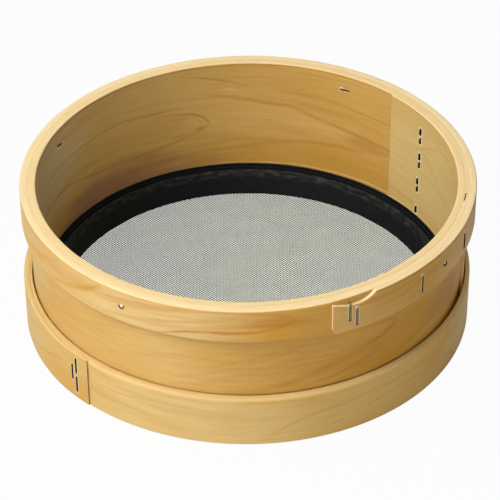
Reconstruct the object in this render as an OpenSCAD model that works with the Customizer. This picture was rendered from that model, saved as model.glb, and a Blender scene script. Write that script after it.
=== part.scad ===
// Round flour sieve: three bent-wood hoops round a flat wire net with a black cloth border.
// The foot stands on z = 0 and z is the axis of the hoops.
// Angles are azimuths: 0 lies along x, 90 along y.

/* [Overall] */
// Outside diameter over the rim band, on its plain side
rim_d = 240; // [200:1:320]
// Height from the foot to the rim
frame_h = 85; // [80:1:120]

/* [Laps] */
// Azimuth towards which the lapped side of the hoop and rim band stands out
lap_dir = -30; // [-36:1:-24]
// Shift of the lapped side's centre
lap_shift = 0.8; // [0.6:0.05:1]
// Glue line between two layers of one strip
glue_gap = 0.1; // [0.05:0.05:0.2]
// Gap between two pieces that are pressed together
seat_gap = 0.1; // [0.05:0.05:0.2]

/* [Main hoop] */
// Thickness of the main hoop
hoop_t = 4.2; // [3.6:0.1:5.5]
// Azimuth of the main hoop's outer end
hoop_outer_az = -9.5; // [-13:0.5:-6]
// Azimuth of the main hoop's inner end
hoop_inner_az = 43.5; // [40:0.5:52]
// Bevel of the main hoop's inner top edge
hoop_edge = 0.6; // [0.2:0.1:1.2]

/* [Rim band] */
// Thickness of the rim band
band_t = 4.2; // [3.6:0.1:5.5]
// Height of the rim band
band_h = 20; // [18:0.5:26]
// Azimuth of the rim band's outer end
band_outer_az = -69.8; // [-73:0.1:-67]
// Distance from the rim band's inner end to the main hoop's outer end
band_end_gap = 0.6; // [0.2:0.1:2]
// Bevel of the rim band's top edge
band_top_edge = 0.6; // [0.2:0.1:1.2]
// Bevel of the rim band's low edge
band_low_edge = 1.3; // [0.5:0.1:2]
// Width of the slit left behind the rim band's inner end
slit_w = 0.7; // [0.3:0.1:1]
// Length of that slit
slit_l = 6.5; // [3:0.5:10]

/* [Tongue of the rim band] */
// Depth of the tongue's lowest stretch below the rim
tongue_dip = 4; // [2.5:0.1:5]
// Depth of the tongue's top corner below the rim
tongue_corner_dip = 1.6; // [0.5:0.1:2.4]
// Length of the sloping stretch at the corner
tongue_slope_l = 8.2; // [5:0.1:10]
// Length of the lowest stretch
tongue_flat_l = 5.3; // [3:0.1:8]
// Radius of the curve that lifts the edge to the rim
tongue_curve_r = 15; // [12:0.5:24]
// Height of the corner that is cut off the tongue's foot
tongue_foot_h = 3.2; // [1:0.1:5]
// Length of that corner
tongue_foot_l = 1.8; // [0.5:0.1:3]

/* [Lower hoop] */
// Thickness of the lower hoop
low_t = 4; // [3.4:0.1:5.5]
// Height of the lower hoop
low_h = 29.5; // [27:0.5:38]
// Bevel of the lower hoop's top edge
low_top_edge = 1.6; // [0.5:0.1:1.8]
// Bevel of the lower hoop's foot
low_foot_edge = 0.8; // [0.3:0.1:1.5]
// Azimuth towards which the centre of the lower hoop's lapped side is shifted
low_dir = -80; // [-88:1:-72]
// Shift of that centre
low_shift = 0.6; // [0.45:0.05:0.8]
// Azimuth of the lower hoop's outer end
low_outer_az = 226.7; // [224:0.1:232]
// Azimuth of the lower hoop's inner end
low_inner_az = 176; // [170:1:182]
// Length of the thinned stretch at the outer end
low_thin_l = 24.5; // [15:0.5:35]
// Thickness left at the outer end
low_end_t = 0.8; // [0.5:0.1:1]
// Azimuth where the lower hoop starts to stand off, ahead of the main hoop's outer end
gap_start_az = -46; // [-52:1:-40]
// Azimuth towards which its inside is shifted there
gap_dir = 20; // [12:1:28]

/* [Net] */
// Height of the net above the foot
net_lift = 0.5; // [0.4:0.1:1]
// Thickness of the net
net_t = 0.8; // [0.5:0.1:1.2]
// Distance between the net's bars
net_pitch = 11.6; // [11.6:0.2:18]
// Width of a net bar
net_bar = 0.9; // [0.6:0.1:1.5]
// Thickness of the cloth binding along the net's edge
binding_t = 0.5; // [0.3:0.05:0.7]
// Height to which the binding is turned up between the hoops
binding_h = 19; // [12:0.5:22]

/* [Border] */
// Height of the black border above the net
border_h = 14; // [12:0.5:18]
// Width of the black border at the net
border_w = 9.4; // [8:0.1:12]
// Width of the border's flat top
border_top_w = 2; // [1.8:0.1:2.6]
// Radius of the border's shoulder
shoulder_r = 1.2; // [1.1:0.1:1.6]
// Width of the groove between the border and the wall
groove_w = 2.6; // [2.4:0.1:3]
// Depth of that groove
groove_depth = 2.6; // [1.8:0.1:4]
// Thickness of the border cloth
cloth_t = 0.7; // [0.4:0.05:0.8]
// Thickness of the hem that stands along the wall
hem_t = 0.7; // [0.5:0.1:0.9]
// Height of the hem above the border
hem_rise = 1.8; // [1:0.1:2]
// Diameter of the bead along the hem
bead_d = 1; // [0.8:0.1:1.2]

/* [Staples] */
// Diameter of the staple wire
wire_d = 1.2; // [0.9:0.1:1.4]
// Length of a staple over its legs
crown_l = 10; // [9:0.1:10.4]
// Inside radius of a wire's bends
bend_r = 0.5; // [0.3:0.1:0.7]
// Gap round a wire in its hole
leg_gap = 0.1; // [0.05:0.05:0.15]
// Azimuth of the main lap's row of staples
lap_staple_az = 31.2; // [29:0.1:35]
// Depth of the row's highest staple below the rim
lap_staple_dip = 15.2; // [14:0.1:16]
// Distance between the row's upper staples
lap_staple_pitch = 16.4; // [14:0.1:16.6]
// Height of the row's lowest staple, whose lower leg ends in the wood behind the border
lap_staple_low_h = 18.6; // [18:0.1:22]
// Length of the row's upper clinched tips
clinch_upper_l = 3.9; // [3:0.1:4.2]
// Length of the row's lower clinched tips
clinch_lower_l = 3.2; // [2.6:0.1:3.6]
// Length of the rim band's staple legs
rim_leg_l = 7.6; // [6.6:0.1:8.4]
// Azimuth of the tongue's upper staple
tongue_upper_az = -65.4; // [-66:0.1:-65.2]
// Depth of its middle below the rim
tongue_upper_dip = 7.7; // [7:0.1:9]
// Azimuth of the tongue's lower staple
tongue_lower_az = -63.5; // [-63.8:0.1:-63]
// Depth of its middle below the rim
tongue_lower_dip = 11.4; // [9:0.1:12]
// Azimuth of the rim band's front staple
rim_front_az = -43.6; // [-50:0.1:-40]
// Azimuth of the rim band's side staple
rim_side_az = -23.1; // [-30:0.1:-18]
// Depth of those two staples' middles below the rim
rim_staple_dip = 10.4; // [8:0.1:11]
// Length of the lower hoop's staple legs
low_leg_l = 3; // [2.4:0.1:3.2]
// Distance of the lower hoop's staple pair from its outer end
low_pair_l = 8.4; // [6:0.1:12]
// Distance of the single staple from the pair
low_single_l = 3.1; // [2.4:0.1:4]
// Depth of the pair's upper middle below the lower hoop's top
low_upper_dip = 7.9; // [7.2:0.1:9]
// Height of the pair's lower middle
low_lower_h = 9.4; // [8:0.1:10]
// Height of the single staple's middle
low_single_h = 16.3; // [14:0.1:18]

/* [Brads] */
// Diameter of a brad
brad_d = 1.1; // [0.9:0.1:1.4]
// Diameter of a brad's head
brad_head_d = 2.4; // [2:0.1:4]
// Thickness of a brad's head
brad_head_t = 0.5; // [0.3:0.1:1]
// Length of a brad's clinched tip
brad_tip_l = 5; // [3:0.1:6]
// Depth of the brads below the rim
brad_dip = 9.6; // [8:0.1:11]
// Azimuth of the back brad driven from outside
brad_back_az = 61.6; // [56:0.1:66]
// Azimuth of the left brad driven from outside
brad_left_az = 157.8; // [153:0.1:162]
// Azimuth of the front brad driven from inside
brad_front_az = -121.4; // [-126:0.1:-116]
// Azimuth of the right brad driven from inside
brad_right_az = -34.4; // [-37:0.1:-32]

/* [Hidden] */
$fn = 96;
overrun = 1;
over_az = 1;
fan_steps = 12;
curve_steps = 8;
upper_staple_count = 3;

// Colours
pale_wood = [0.86, 0.71, 0.44];
inner_wood = [0.83, 0.66, 0.38];
net_grey = [0.67, 0.67, 0.61];
black_cloth = [0.13, 0.14, 0.14];
steel = [0.6, 0.6, 0.6];

// Radii of the plain sides
band_ro = rim_d / 2;
band_ri = band_ro - band_t;
hoop_ro = band_ri - seat_gap;
hoop_ri = hoop_ro - hoop_t;
binding_ri = hoop_ro + seat_gap;
binding_ro = binding_ri + binding_t;
low_ri = binding_ro + seat_gap;
low_ro = low_ri + low_t;

// Heights
band_low = frame_h - band_h;
binding_low = net_lift + net_t;
border_low = binding_low + binding_t;
hoop_low = border_low + seat_gap;
border_top = binding_low + border_h;
brad_h = frame_h - brad_dip;

// Border section
border_ro = hoop_ri - seat_gap;
border_ri = hoop_ri - border_w;
groove_ri = border_ro - groove_w;
shoulder_ri = groove_ri - border_top_w;
groove_low = border_top - groove_depth;
border_lean = (shoulder_ri - border_ri) / (border_top - border_low);
bead_at = (groove_ri + border_ro - hem_t) / 2;

// Azimuths where a shifted side runs back into the plain one
join_az = lap_dir + 180;
low_join_az = low_dir + 180;

// Azimuth that lies a length along a hoop of radius r from another one
function along(az, l, r) = az + l / r * 180 / PI;
band_inner_az = along(hoop_outer_az, -band_end_gap, hoop_ro);
slit_start_az = along(band_inner_az, -slit_l, hoop_ro);
low_thin_az = along(low_outer_az, -low_thin_l, low_ro);
low_pair_az = along(low_outer_az, -low_pair_l, low_ro);
low_single_az = along(low_pair_az, -low_single_l, low_ro);

// Distance from the axis to a circle of radius r whose centre is shifted towards dir
function reach(r, shift, dir, az) =
    shift * cos(az - dir) + sqrt(r * r - pow(shift * sin(az - dir), 2));

// The same for the lapped side that grows out of the plain circle of radius r
function lapped(r, az) = reach(r + lap_shift, lap_shift, lap_dir, az);
function low_lapped(r, az) = reach(r + low_shift, low_shift, low_dir, az);

// Shift and radius of the circle that passes ra at azimuth a and rb at azimuth b
function pass_shift(ra, a, rb, b, dir) =
    (ra * ra - rb * rb) / (ra * cos(a - dir) - rb * cos(b - dir)) / 2;
function pass_r(ra, a, shift, dir) = norm([ra * cos(a - dir) - shift, ra * sin(a - dir)]);

// Glue line of the main hoop's lap
hoop_end_r = lapped(hoop_ri, hoop_inner_az);
hoop_glue_shift = pass_shift(hoop_ro, hoop_outer_az, hoop_end_r, hoop_inner_az, lap_dir);
hoop_glue_r = pass_r(hoop_ro, hoop_outer_az, hoop_glue_shift, lap_dir);

// Glue line of the rim band's lap
band_glue_dir = band_outer_az - 90;
band_end_r = lapped(band_ri, band_inner_az);
band_glue_shift = pass_shift(band_ro, band_outer_az, band_end_r, band_inner_az, band_glue_dir);
band_glue_r = pass_r(band_ro, band_outer_az, band_glue_shift, band_glue_dir);

// Glue line of the lower hoop's lap
low_glue_dir = low_outer_az + 24;
low_face_r = low_ro + low_end_t / 2;
low_foot_r = low_face_r - low_end_t;
low_end_r = low_lapped(low_ri, low_inner_az);
low_glue_shift = pass_shift(low_foot_r, low_outer_az, low_end_r, low_inner_az, low_glue_dir);
low_glue_r = pass_r(low_foot_r, low_outer_az, low_glue_shift, low_glue_dir);

// Thinned outside of the lower hoop's outer end
thin_dir = low_outer_az - 90;
thin_start_r = low_lapped(low_ro, low_thin_az);
thin_shift = pass_shift(low_face_r, low_outer_az, thin_start_r, low_thin_az, thin_dir);
thin_r = pass_r(low_face_r, low_outer_az, thin_shift, thin_dir);

// Inside of the lower hoop where it rides over the main hoop's outer end
gap_end_r = lapped(low_ri, hoop_outer_az);
gap_shift = pass_shift(gap_end_r, hoop_outer_az, low_ri, gap_start_az, gap_dir);
gap_r = pass_r(gap_end_r, hoop_outer_az, gap_shift, gap_dir);

// Faces that the fasteners stand on
function band_face(az) = az > band_outer_az && az < join_az ? lapped(band_ro, az) : band_ro;
function hoop_back(az) = az > hoop_inner_az && az < join_az ? lapped(hoop_ri, az) : hoop_ri;
function low_face(az) = reach(thin_r, thin_shift, thin_dir, az);
function rim_wall_t(az) = band_face(az) - hoop_back(az);

// Places of the fasteners: azimuth and height
tongue_staple_places = [
    [tongue_upper_az, frame_h - tongue_upper_dip],
    [tongue_lower_az, frame_h - tongue_lower_dip]
];
rim_staple_places = [
    [rim_front_az, frame_h - rim_staple_dip],
    [rim_side_az, frame_h - rim_staple_dip]
];
low_staple_places = [
    [low_pair_az, low_h - low_upper_dip],
    [low_pair_az, low_lower_h],
    [low_single_az, low_single_h]
];
lap_staple_top = frame_h - lap_staple_dip;
lap_staple_hs = [for (i = [0 : upper_staple_count - 1]) lap_staple_top - i * lap_staple_pitch];
brads_from_outside = [brad_back_az, brad_left_az];
brads_from_inside = [brad_front_az, brad_right_az];

// Radius at which the main lap's sunk staples rest, and the wall that their legs pass
lap_seat_r = lapped(hoop_ro, lap_staple_az) - wire_d - seat_gap;
lap_wall_t = lap_seat_r - hoop_ri;
lap_leg_l = lap_wall_t + bend_r + wire_d / 2;

// Part of the plan between two azimuths
module fan(from, to) {
    polygon(concat([[0, 0]], [
        for (i = [0 : fan_steps])
            let (az = from + (to - from) * i / fan_steps)
            rim_d * [cos(az), sin(az)]
    ]));
}

// Circle whose centre is shifted towards dir
module off_centre(r, shift, dir) {
    translate(shift * [cos(dir), sin(dir)]) circle(r);
}

// Outline that follows the main hoop's outside, its step lying lead ahead of the hoop's own
module hoop_plan(r, lead = 0) {
    circle(r);
    intersection() {
        off_centre(r + lap_shift, lap_shift, lap_dir);
        fan(along(hoop_outer_az, -lead, hoop_ro), join_az);
    }
}

// Cutter that takes a plan through the whole height
module tall() {
    translate([0, 0, -overrun]) linear_extrude(frame_h + 2 * overrun) children();
}

// Disc with a bevel round its low and top edges
module puck(r, low, top, low_edge, top_edge) {
    rotate_extrude()
        polygon([
            [0, low], [r - low_edge, low], [r, low + low_edge],
            [r, top - top_edge], [r - top_edge, top], [0, top]
        ]);
}

// Frame of a fastener: its x axis points outwards at the azimuth
module at(az, r, z) {
    rotate([0, 0, az]) translate([r, 0, z]) children();
}

// Quarter turn of wire in the xz plane that starts at an angle above the x axis
module bend(d, from) {
    rotate([90, 0, 0])
        rotate([0, 0, from])
        rotate_extrude(angle = 90)
        translate([bend_r + d / 2, 0])
        circle(d = d);
}

// Wire that runs along -x and, where it has a tip, turns down at its end
module hook(d, leg_l, tip_l) {
    arm = bend_r + d / 2;
    rotate([0, -90, 0]) cylinder(h = tip_l > 0 ? leg_l - arm : leg_l, d = d);
    if (tip_l > 0) {
        translate([arm - leg_l, 0, -arm]) bend(d, 90);
        translate([-leg_l, 0, -tip_l]) cylinder(h = tip_l - arm, d = d);
    }
}

// Staple with its upright crown on the face at x = 0: its upper and its lower leg and their tips
module staple(leg_ls, tip_ls = [0, 0]) {
    arm = bend_r + wire_d / 2;
    rail = (crown_l - wire_d) / 2;
    lift = seat_gap + wire_d / 2;
    translate([lift, 0, arm - rail]) cylinder(h = 2 * (rail - arm), d = wire_d);
    for (flip = [0, 1])
        mirror([0, 0, flip]) {
            translate([lift - arm, 0, rail - arm]) bend(wire_d, 0);
            translate([lift - arm, 0, rail])
                hook(wire_d, leg_ls[flip] + lift - arm, tip_ls[flip]);
        }
}

// Holes for the legs of a staple
module leg_holes(depth) {
    for (side = [-1, 1])
        translate([overrun, 0, side * (crown_l - wire_d) / 2])
            rotate([0, -90, 0])
            cylinder(h = depth + overrun, d = wire_d + 2 * leg_gap);
}

// Slot for a crown that is sunk into the wood
module crown_slot() {
    w = wire_d + 2 * leg_gap;
    l = crown_l + 2 * leg_gap;
    translate([0, -w / 2, -l / 2]) cube([w + overrun, w, l]);
}

// Holes for a staple of the main lap: its crown is sunk, and its legs come out inside
module lap_staple_cut() {
    leg_holes(lap_wall_t + overrun);
    crown_slot();
}

module band_staple_holes() {
    for (p = concat(tongue_staple_places, rim_staple_places))
        at(p[0], band_face(p[0]), p[1]) leg_holes(rim_leg_l + wire_d / 2);
}

// Brad whose head lies on the face at x = 0 and whose tip turns along the far face
module brad(wall_t) {
    translate([seat_gap, 0, 0]) rotate([0, 90, 0]) cylinder(h = brad_head_t, d = brad_head_d);
    translate([seat_gap, 0, 0])
        rotate([-90, 0, 0])
        hook(brad_d, wall_t + seat_gap + bend_r + brad_d / 2, brad_tip_l);
}

module brad_hole(wall_t) {
    translate([overrun, 0, 0])
        rotate([0, -90, 0])
        cylinder(h = wall_t + 2 * overrun, d = brad_d + 2 * leg_gap);
}

module from_outside(az) {
    at(az, band_face(az), brad_h) children();
}

module from_inside(az) {
    at(az, hoop_ri, brad_h) rotate([0, 0, 180]) children();
}

module brad_holes() {
    for (az = brads_from_outside) from_outside(az) brad_hole(rim_wall_t(az));
    for (az = brads_from_inside) from_inside(az) brad_hole(rim_wall_t(az));
}

// Plain side of the main hoop, which runs on as the inner layer of the lap
module hoop_plain_plan() {
    difference() {
        intersection() {
            circle(hoop_ro);
            fan(join_az, hoop_inner_az + 360);
        }
        circle(hoop_ri);
        difference() {
            fan(along(hoop_outer_az, -glue_gap, hoop_ro), hoop_inner_az + over_az);
            off_centre(hoop_glue_r - glue_gap, hoop_glue_shift, lap_dir);
        }
    }
}

// Lapped side of the main hoop, which ends as the outer layer
module hoop_lapped_plan() {
    difference() {
        intersection() {
            off_centre(hoop_ro + lap_shift, lap_shift, lap_dir);
            fan(hoop_outer_az, join_az);
        }
        off_centre(hoop_ri + lap_shift, lap_shift, lap_dir);
        intersection() {
            off_centre(hoop_glue_r, hoop_glue_shift, lap_dir);
            fan(hoop_outer_az - over_az, hoop_inner_az);
        }
    }
}

// Ring that bevels the inner top edge of the plain side
module hoop_bevel(r) {
    rotate_extrude()
        polygon([
            [r - overrun, frame_h - hoop_edge - overrun],
            [r + hoop_edge + overrun, frame_h + overrun],
            [r - overrun, frame_h + overrun]
        ]);
}

module main_hoop() {
    color(inner_wood)
    difference() {
        union() {
            difference() {
                translate([0, 0, hoop_low]) linear_extrude(frame_h - hoop_low) hoop_plain_plan();
                hoop_bevel(hoop_ri);
            }
            difference() {
                translate([0, 0, hoop_low]) linear_extrude(frame_h - hoop_low) hoop_lapped_plan();
                translate(lap_shift * [cos(lap_dir), sin(lap_dir), 0])
                    hoop_bevel(hoop_ri + lap_shift);
            }
        }
        for (h = concat(lap_staple_hs, lap_staple_low_h))
            at(lap_staple_az, lap_seat_r, h) lap_staple_cut();
        band_staple_holes();
        brad_holes();
    }
}

// Cutter above the tongue's edge and at its foot, drawn on the plane that touches its end
module tongue_cutter() {
    lift_angle = acos(1 - (tongue_dip + overrun) / tongue_curve_r);
    curve_start = tongue_slope_l + tongue_flat_l;
    at(band_outer_az, band_ro / 2, frame_h)
        rotate([90, 0, 90])
        linear_extrude(band_ro) {
            polygon(concat(
                [
                    [-overrun, overrun],
                    [-overrun, -tongue_corner_dip],
                    [0, -tongue_corner_dip],
                    [tongue_slope_l, -tongue_dip]
                ],
                [
                    for (i = [0 : curve_steps])
                        let (a = lift_angle * i / curve_steps)
                        [curve_start, -tongue_dip] + tongue_curve_r * [sin(a), 1 - cos(a)]
                ]
            ));
            translate([0, -band_h])
                polygon([
                    [-tongue_foot_l, 2 * tongue_foot_h],
                    [-tongue_foot_l, -tongue_foot_h],
                    [2 * tongue_foot_l, -tongue_foot_h]
                ]);
        }
}

// Plain side of the rim band, which runs on under the tongue
module band_plain() {
    difference() {
        puck(band_ro, band_low, frame_h, band_low_edge, band_top_edge);
        tall() fan(band_inner_az, join_az);
        tall() circle(band_ri);
        tall() difference() {
            fan(along(band_outer_az, -glue_gap, band_ro), band_inner_az + over_az);
            off_centre(band_glue_r - glue_gap, band_glue_shift, band_glue_dir);
        }
        tall() intersection() {
            circle(band_ri + slit_w);
            fan(slit_start_az, band_inner_az + over_az);
        }
    }
}

// Lapped side of the rim band, which ends as the tongue
module band_lapped() {
    difference() {
        intersection() {
            translate(lap_shift * [cos(lap_dir), sin(lap_dir), 0])
                puck(band_ro + lap_shift, band_low, frame_h, band_low_edge, band_top_edge);
            tall() fan(band_outer_az, join_az);
        }
        tall() off_centre(band_ri + lap_shift, lap_shift, lap_dir);
        tall() intersection() {
            off_centre(band_glue_r, band_glue_shift, band_glue_dir);
            fan(band_outer_az - over_az, band_inner_az);
        }
        tongue_cutter();
    }
}

module rim_band() {
    color(pale_wood)
    difference() {
        union() {
            band_plain();
            band_lapped();
        }
        band_staple_holes();
        brad_holes();
    }
}

// Inside of the lower hoop, which clears the binding and the main hoop's lapped side
module low_inside() {
    hoop_plan(low_ri);
    intersection() {
        off_centre(gap_r, gap_shift, gap_dir);
        fan(gap_start_az, hoop_outer_az);
    }
}

// Plain side of the lower hoop, which starts inside its lap
module low_plain() {
    difference() {
        puck(low_ro, 0, low_h, low_foot_edge, low_top_edge);
        tall() fan(low_join_az, low_inner_az);
        tall() low_inside();
        tall() difference() {
            fan(low_inner_az - over_az, along(low_outer_az, glue_gap, low_ro));
            off_centre(low_glue_r - glue_gap, low_glue_shift, low_glue_dir);
        }
    }
}

// Lapped side of the lower hoop, which ends outside and is thinned towards its end
module low_lapped_side() {
    difference() {
        intersection() {
            translate(low_shift * [cos(low_dir), sin(low_dir), 0])
                puck(low_ro + low_shift, 0, low_h, low_foot_edge, low_top_edge);
            tall() fan(low_join_az, low_outer_az);
        }
        tall() low_inside();
        tall() off_centre(low_ri + low_shift, low_shift, low_dir);
        tall() intersection() {
            off_centre(low_glue_r, low_glue_shift, low_glue_dir);
            fan(low_inner_az, low_outer_az + over_az);
        }
        tall() difference() {
            fan(low_thin_az, low_outer_az + over_az);
            off_centre(thin_r, thin_shift, thin_dir);
        }
    }
}

module lower_hoop() {
    color(pale_wood)
    difference() {
        union() {
            low_plain();
            low_lapped_side();
        }
        for (p = low_staple_places)
            at(p[0], low_face(p[0]), p[1]) leg_holes(low_leg_l + wire_d / 2);
    }
}

// Square gaps of the net, clipped by the border's inner edge
module net_gaps() {
    gap = net_pitch - net_bar;
    count = ceil(border_ri / net_pitch);
    intersection() {
        circle(border_ri);
        for (ix = [-count : count], iy = [-count : count]) {
            mid = net_pitch * [ix, iy];
            near = [max(abs(mid.x) - gap / 2, 0), max(abs(mid.y) - gap / 2, 0)];
            if (norm(near) < border_ri - 2 * net_bar) translate(mid) square(gap, center = true);
        }
    }
}

module wire_net() {
    color(net_grey)
    difference() {
        translate([0, 0, net_lift]) cylinder(h = net_t, r = binding_ro);
        translate([0, 0, net_lift - overrun])
            linear_extrude(net_t + 2 * overrun)
            net_gaps();
    }
}

// Cloth along the net's edge: it lies on the net and turns up between the hoops
module edge_binding() {
    color(black_cloth) {
        translate([0, 0, binding_low]) linear_extrude(binding_t) difference() {
            hoop_plan(binding_ro, seat_gap + binding_t);
            circle(border_ri + cloth_t);
        }
        translate([0, 0, border_low]) linear_extrude(binding_h - border_low) difference() {
            hoop_plan(binding_ro, seat_gap + binding_t);
            hoop_plan(binding_ri, seat_gap);
        }
    }
}

// The border's body, drawn in by t and reaching out to radius ro
module border_body(t, ro) {
    side = norm([1, border_lean]);
    corner_h = border_top - shoulder_r;
    corner = [
        border_ri + (corner_h - border_low) * border_lean + shoulder_r * side,
        corner_h
    ];
    rotate_extrude()
        polygon([
            [ro, border_low + t],
            [border_ri + t * border_lean + t * side, border_low + t],
            corner + (shoulder_r - t) / side * [-1, border_lean],
            corner,
            [corner.x, border_top - t],
            [groove_ri - t, border_top - t],
            [groove_ri - t, groove_low - t],
            [ro, groove_low - t]
        ]);
    rotate_extrude() translate(corner) circle(shoulder_r - t);
}

module inner_ring() {
    color(inner_wood)
    border_body(cloth_t + seat_gap, border_ro);
}

module border_cloth() {
    color(black_cloth)
    difference() {
        border_body(0, border_ro);
        border_body(cloth_t, border_ro + overrun);
    }
}

// Hem in the border's groove: a strip up the wall and a bead beside it
module border_hem() {
    web_ri = bead_at - hem_t / 2;
    web_ro = bead_at + hem_t / 2;
    hem_ri = border_ro - hem_t;
    floor_top = groove_low + hem_t;
    color(black_cloth) {
        rotate_extrude()
            polygon([
                [web_ri, groove_low], [border_ro, groove_low],
                [border_ro, border_top + hem_rise], [hem_ri, border_top + hem_rise],
                [hem_ri, floor_top], [web_ro, floor_top],
                [web_ro, border_top], [web_ri, border_top]
            ]);
        rotate_extrude() translate([bead_at, border_top]) circle(d = bead_d);
    }
}

module main_lap_staples() {
    color(steel) {
        for (h = lap_staple_hs)
            at(lap_staple_az, lap_seat_r, h)
                staple([lap_leg_l, lap_leg_l], [clinch_upper_l, clinch_lower_l]);
        at(lap_staple_az, lap_seat_r, lap_staple_low_h)
            staple([lap_leg_l, lap_wall_t - wire_d / 2], [clinch_upper_l, 0]);
    }
}

module tongue_staples() {
    color(steel)
    for (p = tongue_staple_places)
        at(p[0], band_face(p[0]), p[1]) staple([rim_leg_l, rim_leg_l]);
}

module rim_staples() {
    color(steel)
    for (p = rim_staple_places)
        at(p[0], band_face(p[0]), p[1]) staple([rim_leg_l, rim_leg_l]);
}

module lower_lap_staples() {
    color(steel)
    for (p = low_staple_places) at(p[0], low_face(p[0]), p[1]) staple([low_leg_l, low_leg_l]);
}

module rim_brads() {
    color(steel) {
        for (az = brads_from_outside) from_outside(az) brad(rim_wall_t(az));
        for (az = brads_from_inside) from_inside(az) brad(rim_wall_t(az));
    }
}

main_hoop();
rim_band();
lower_hoop();
wire_net();
edge_binding();
inner_ring();
border_cloth();
border_hem();
main_lap_staples();
tongue_staples();
rim_staples();
lower_lap_staples();
rim_brads();
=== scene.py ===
# Round wooden sieve: three bent hoops, a woven wire net and a black cloth border.
# Lengths in the settings are millimetres and angles are degrees: 0 lies along x, 90 along y.
import math
import bpy
import numpy as np
from mathutils import Matrix


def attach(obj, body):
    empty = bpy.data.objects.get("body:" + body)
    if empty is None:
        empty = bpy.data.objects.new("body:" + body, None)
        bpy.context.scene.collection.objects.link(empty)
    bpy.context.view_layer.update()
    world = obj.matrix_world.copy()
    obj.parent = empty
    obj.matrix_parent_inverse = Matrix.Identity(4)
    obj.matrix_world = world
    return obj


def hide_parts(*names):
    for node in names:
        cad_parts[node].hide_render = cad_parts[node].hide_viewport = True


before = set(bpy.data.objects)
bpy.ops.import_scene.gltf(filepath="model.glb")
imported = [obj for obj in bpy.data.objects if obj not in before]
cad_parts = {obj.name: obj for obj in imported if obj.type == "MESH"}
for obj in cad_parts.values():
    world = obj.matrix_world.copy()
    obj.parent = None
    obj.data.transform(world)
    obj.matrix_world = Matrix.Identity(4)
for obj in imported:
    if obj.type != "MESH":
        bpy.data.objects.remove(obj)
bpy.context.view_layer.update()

mm = 0.001


# materials
class Flow:
    # a socket of the material being made: + - * / ** on it add Math nodes
    def __init__(self, finish, socket):
        self.finish = finish
        self.socket = socket

    def math(self, operation, *others):
        return self.finish.node("Math", {"operation": operation},
                                dict(enumerate((self,) + others)))

    def mirrored(self, operation, first):
        return self.finish.node("Math", {"operation": operation}, {0: first, 1: self})

    def __add__(self, other):
        return self.math("ADD", other)

    def __radd__(self, other):
        return self.mirrored("ADD", other)

    def __sub__(self, other):
        return self.math("SUBTRACT", other)

    def __rsub__(self, other):
        return self.mirrored("SUBTRACT", other)

    def __mul__(self, other):
        return self.math("MULTIPLY", other)

    def __rmul__(self, other):
        return self.mirrored("MULTIPLY", other)

    def __truediv__(self, other):
        return self.math("DIVIDE", other)

    def __rtruediv__(self, other):
        return self.mirrored("DIVIDE", other)

    def __pow__(self, other):
        return self.math("POWER", other)


class Finish:
    # the nodes of a material or of the world
    def __init__(self, owner):
        owner.use_nodes = True
        self.owner = owner
        self.tree = owner.node_tree
        self.tree.nodes.clear()

    def node(self, kind, settings=None, sockets=None, output=0):
        made = self.tree.nodes.new("ShaderNode" + kind)
        for name, value in (settings or {}).items():
            if name == "stops":
                self.setStops(made.color_ramp.elements, value)
            elif name == "curve":
                made.color_ramp.interpolation = value
            else:
                setattr(made, name, value)
        for name, value in (sockets or {}).items():
            if isinstance(value, Flow):
                self.tree.links.new(value.socket, made.inputs[name])
            else:
                made.inputs[name].default_value = value
        return Flow(self, made.outputs[output]) if made.outputs else None

    def setStops(self, elements, stops):
        elements[0].position, elements[-1].position = stops[0][0], stops[-1][0]
        for stop in stops[1:-1]:
            elements.new(stop[0])
        for element, (place, *shades) in zip(elements, stops):
            element.color = (shades[0], shades[-1], shades[0], 1)

    def split(self, vector):
        return [self.node("SeparateXYZ", {}, {0: vector}, output=i) for i in range(3)]

    def position(self):
        # the place on the piece, in metres
        return self.split(self.node("TexCoord", output=3))

    def mapped(self, name):
        # the two values of a map on the mesh
        return self.split(self.node("UVMap", {"uv_map": name}))[:2]

    def vector(self, x=0.0, y=0.0, z=0.0):
        return self.node("CombineXYZ", {}, {0: x, 1: y, 2: z})

    def noise(self, x, y, z=0.0, detail=2.0, roughness=0.5):
        return self.node("TexNoise", {}, {"Vector": self.vector(x, y, z), "Scale": 1.0,
                                          "Detail": detail, "Roughness": roughness})

    def ease(self, value, start, end):
        return self.node("MapRange", {"interpolation_type": "SMOOTHSTEP"},
                         {0: value, 1: start, 2: end, 3: 0.0, 4: 1.0})

    def ramp(self, value, stops, curve="LINEAR"):
        return self.node("ValToRGB", {"stops": stops, "curve": curve}, {0: value})

    def blend(self, factor, first, second, how="MIX"):
        return self.node("Mix", {"data_type": "RGBA", "blend_type": how},
                         {0: factor, 6: first, 7: second}, output=2)

    def bump(self, height, depth, strength):
        # depth is in metres
        return self.node("Bump", {}, {"Height": height, "Distance": depth, "Strength": strength})

    def surface(self, **values):
        sockets = {name.replace("_", " "): value for name, value in values.items()}
        shader = self.node("BsdfPrincipled", {}, sockets)
        self.node("OutputMaterial", {}, {"Surface": shader})
        return self.owner


def newFinish(name):
    return Finish(bpy.data.materials.new(name))


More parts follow.
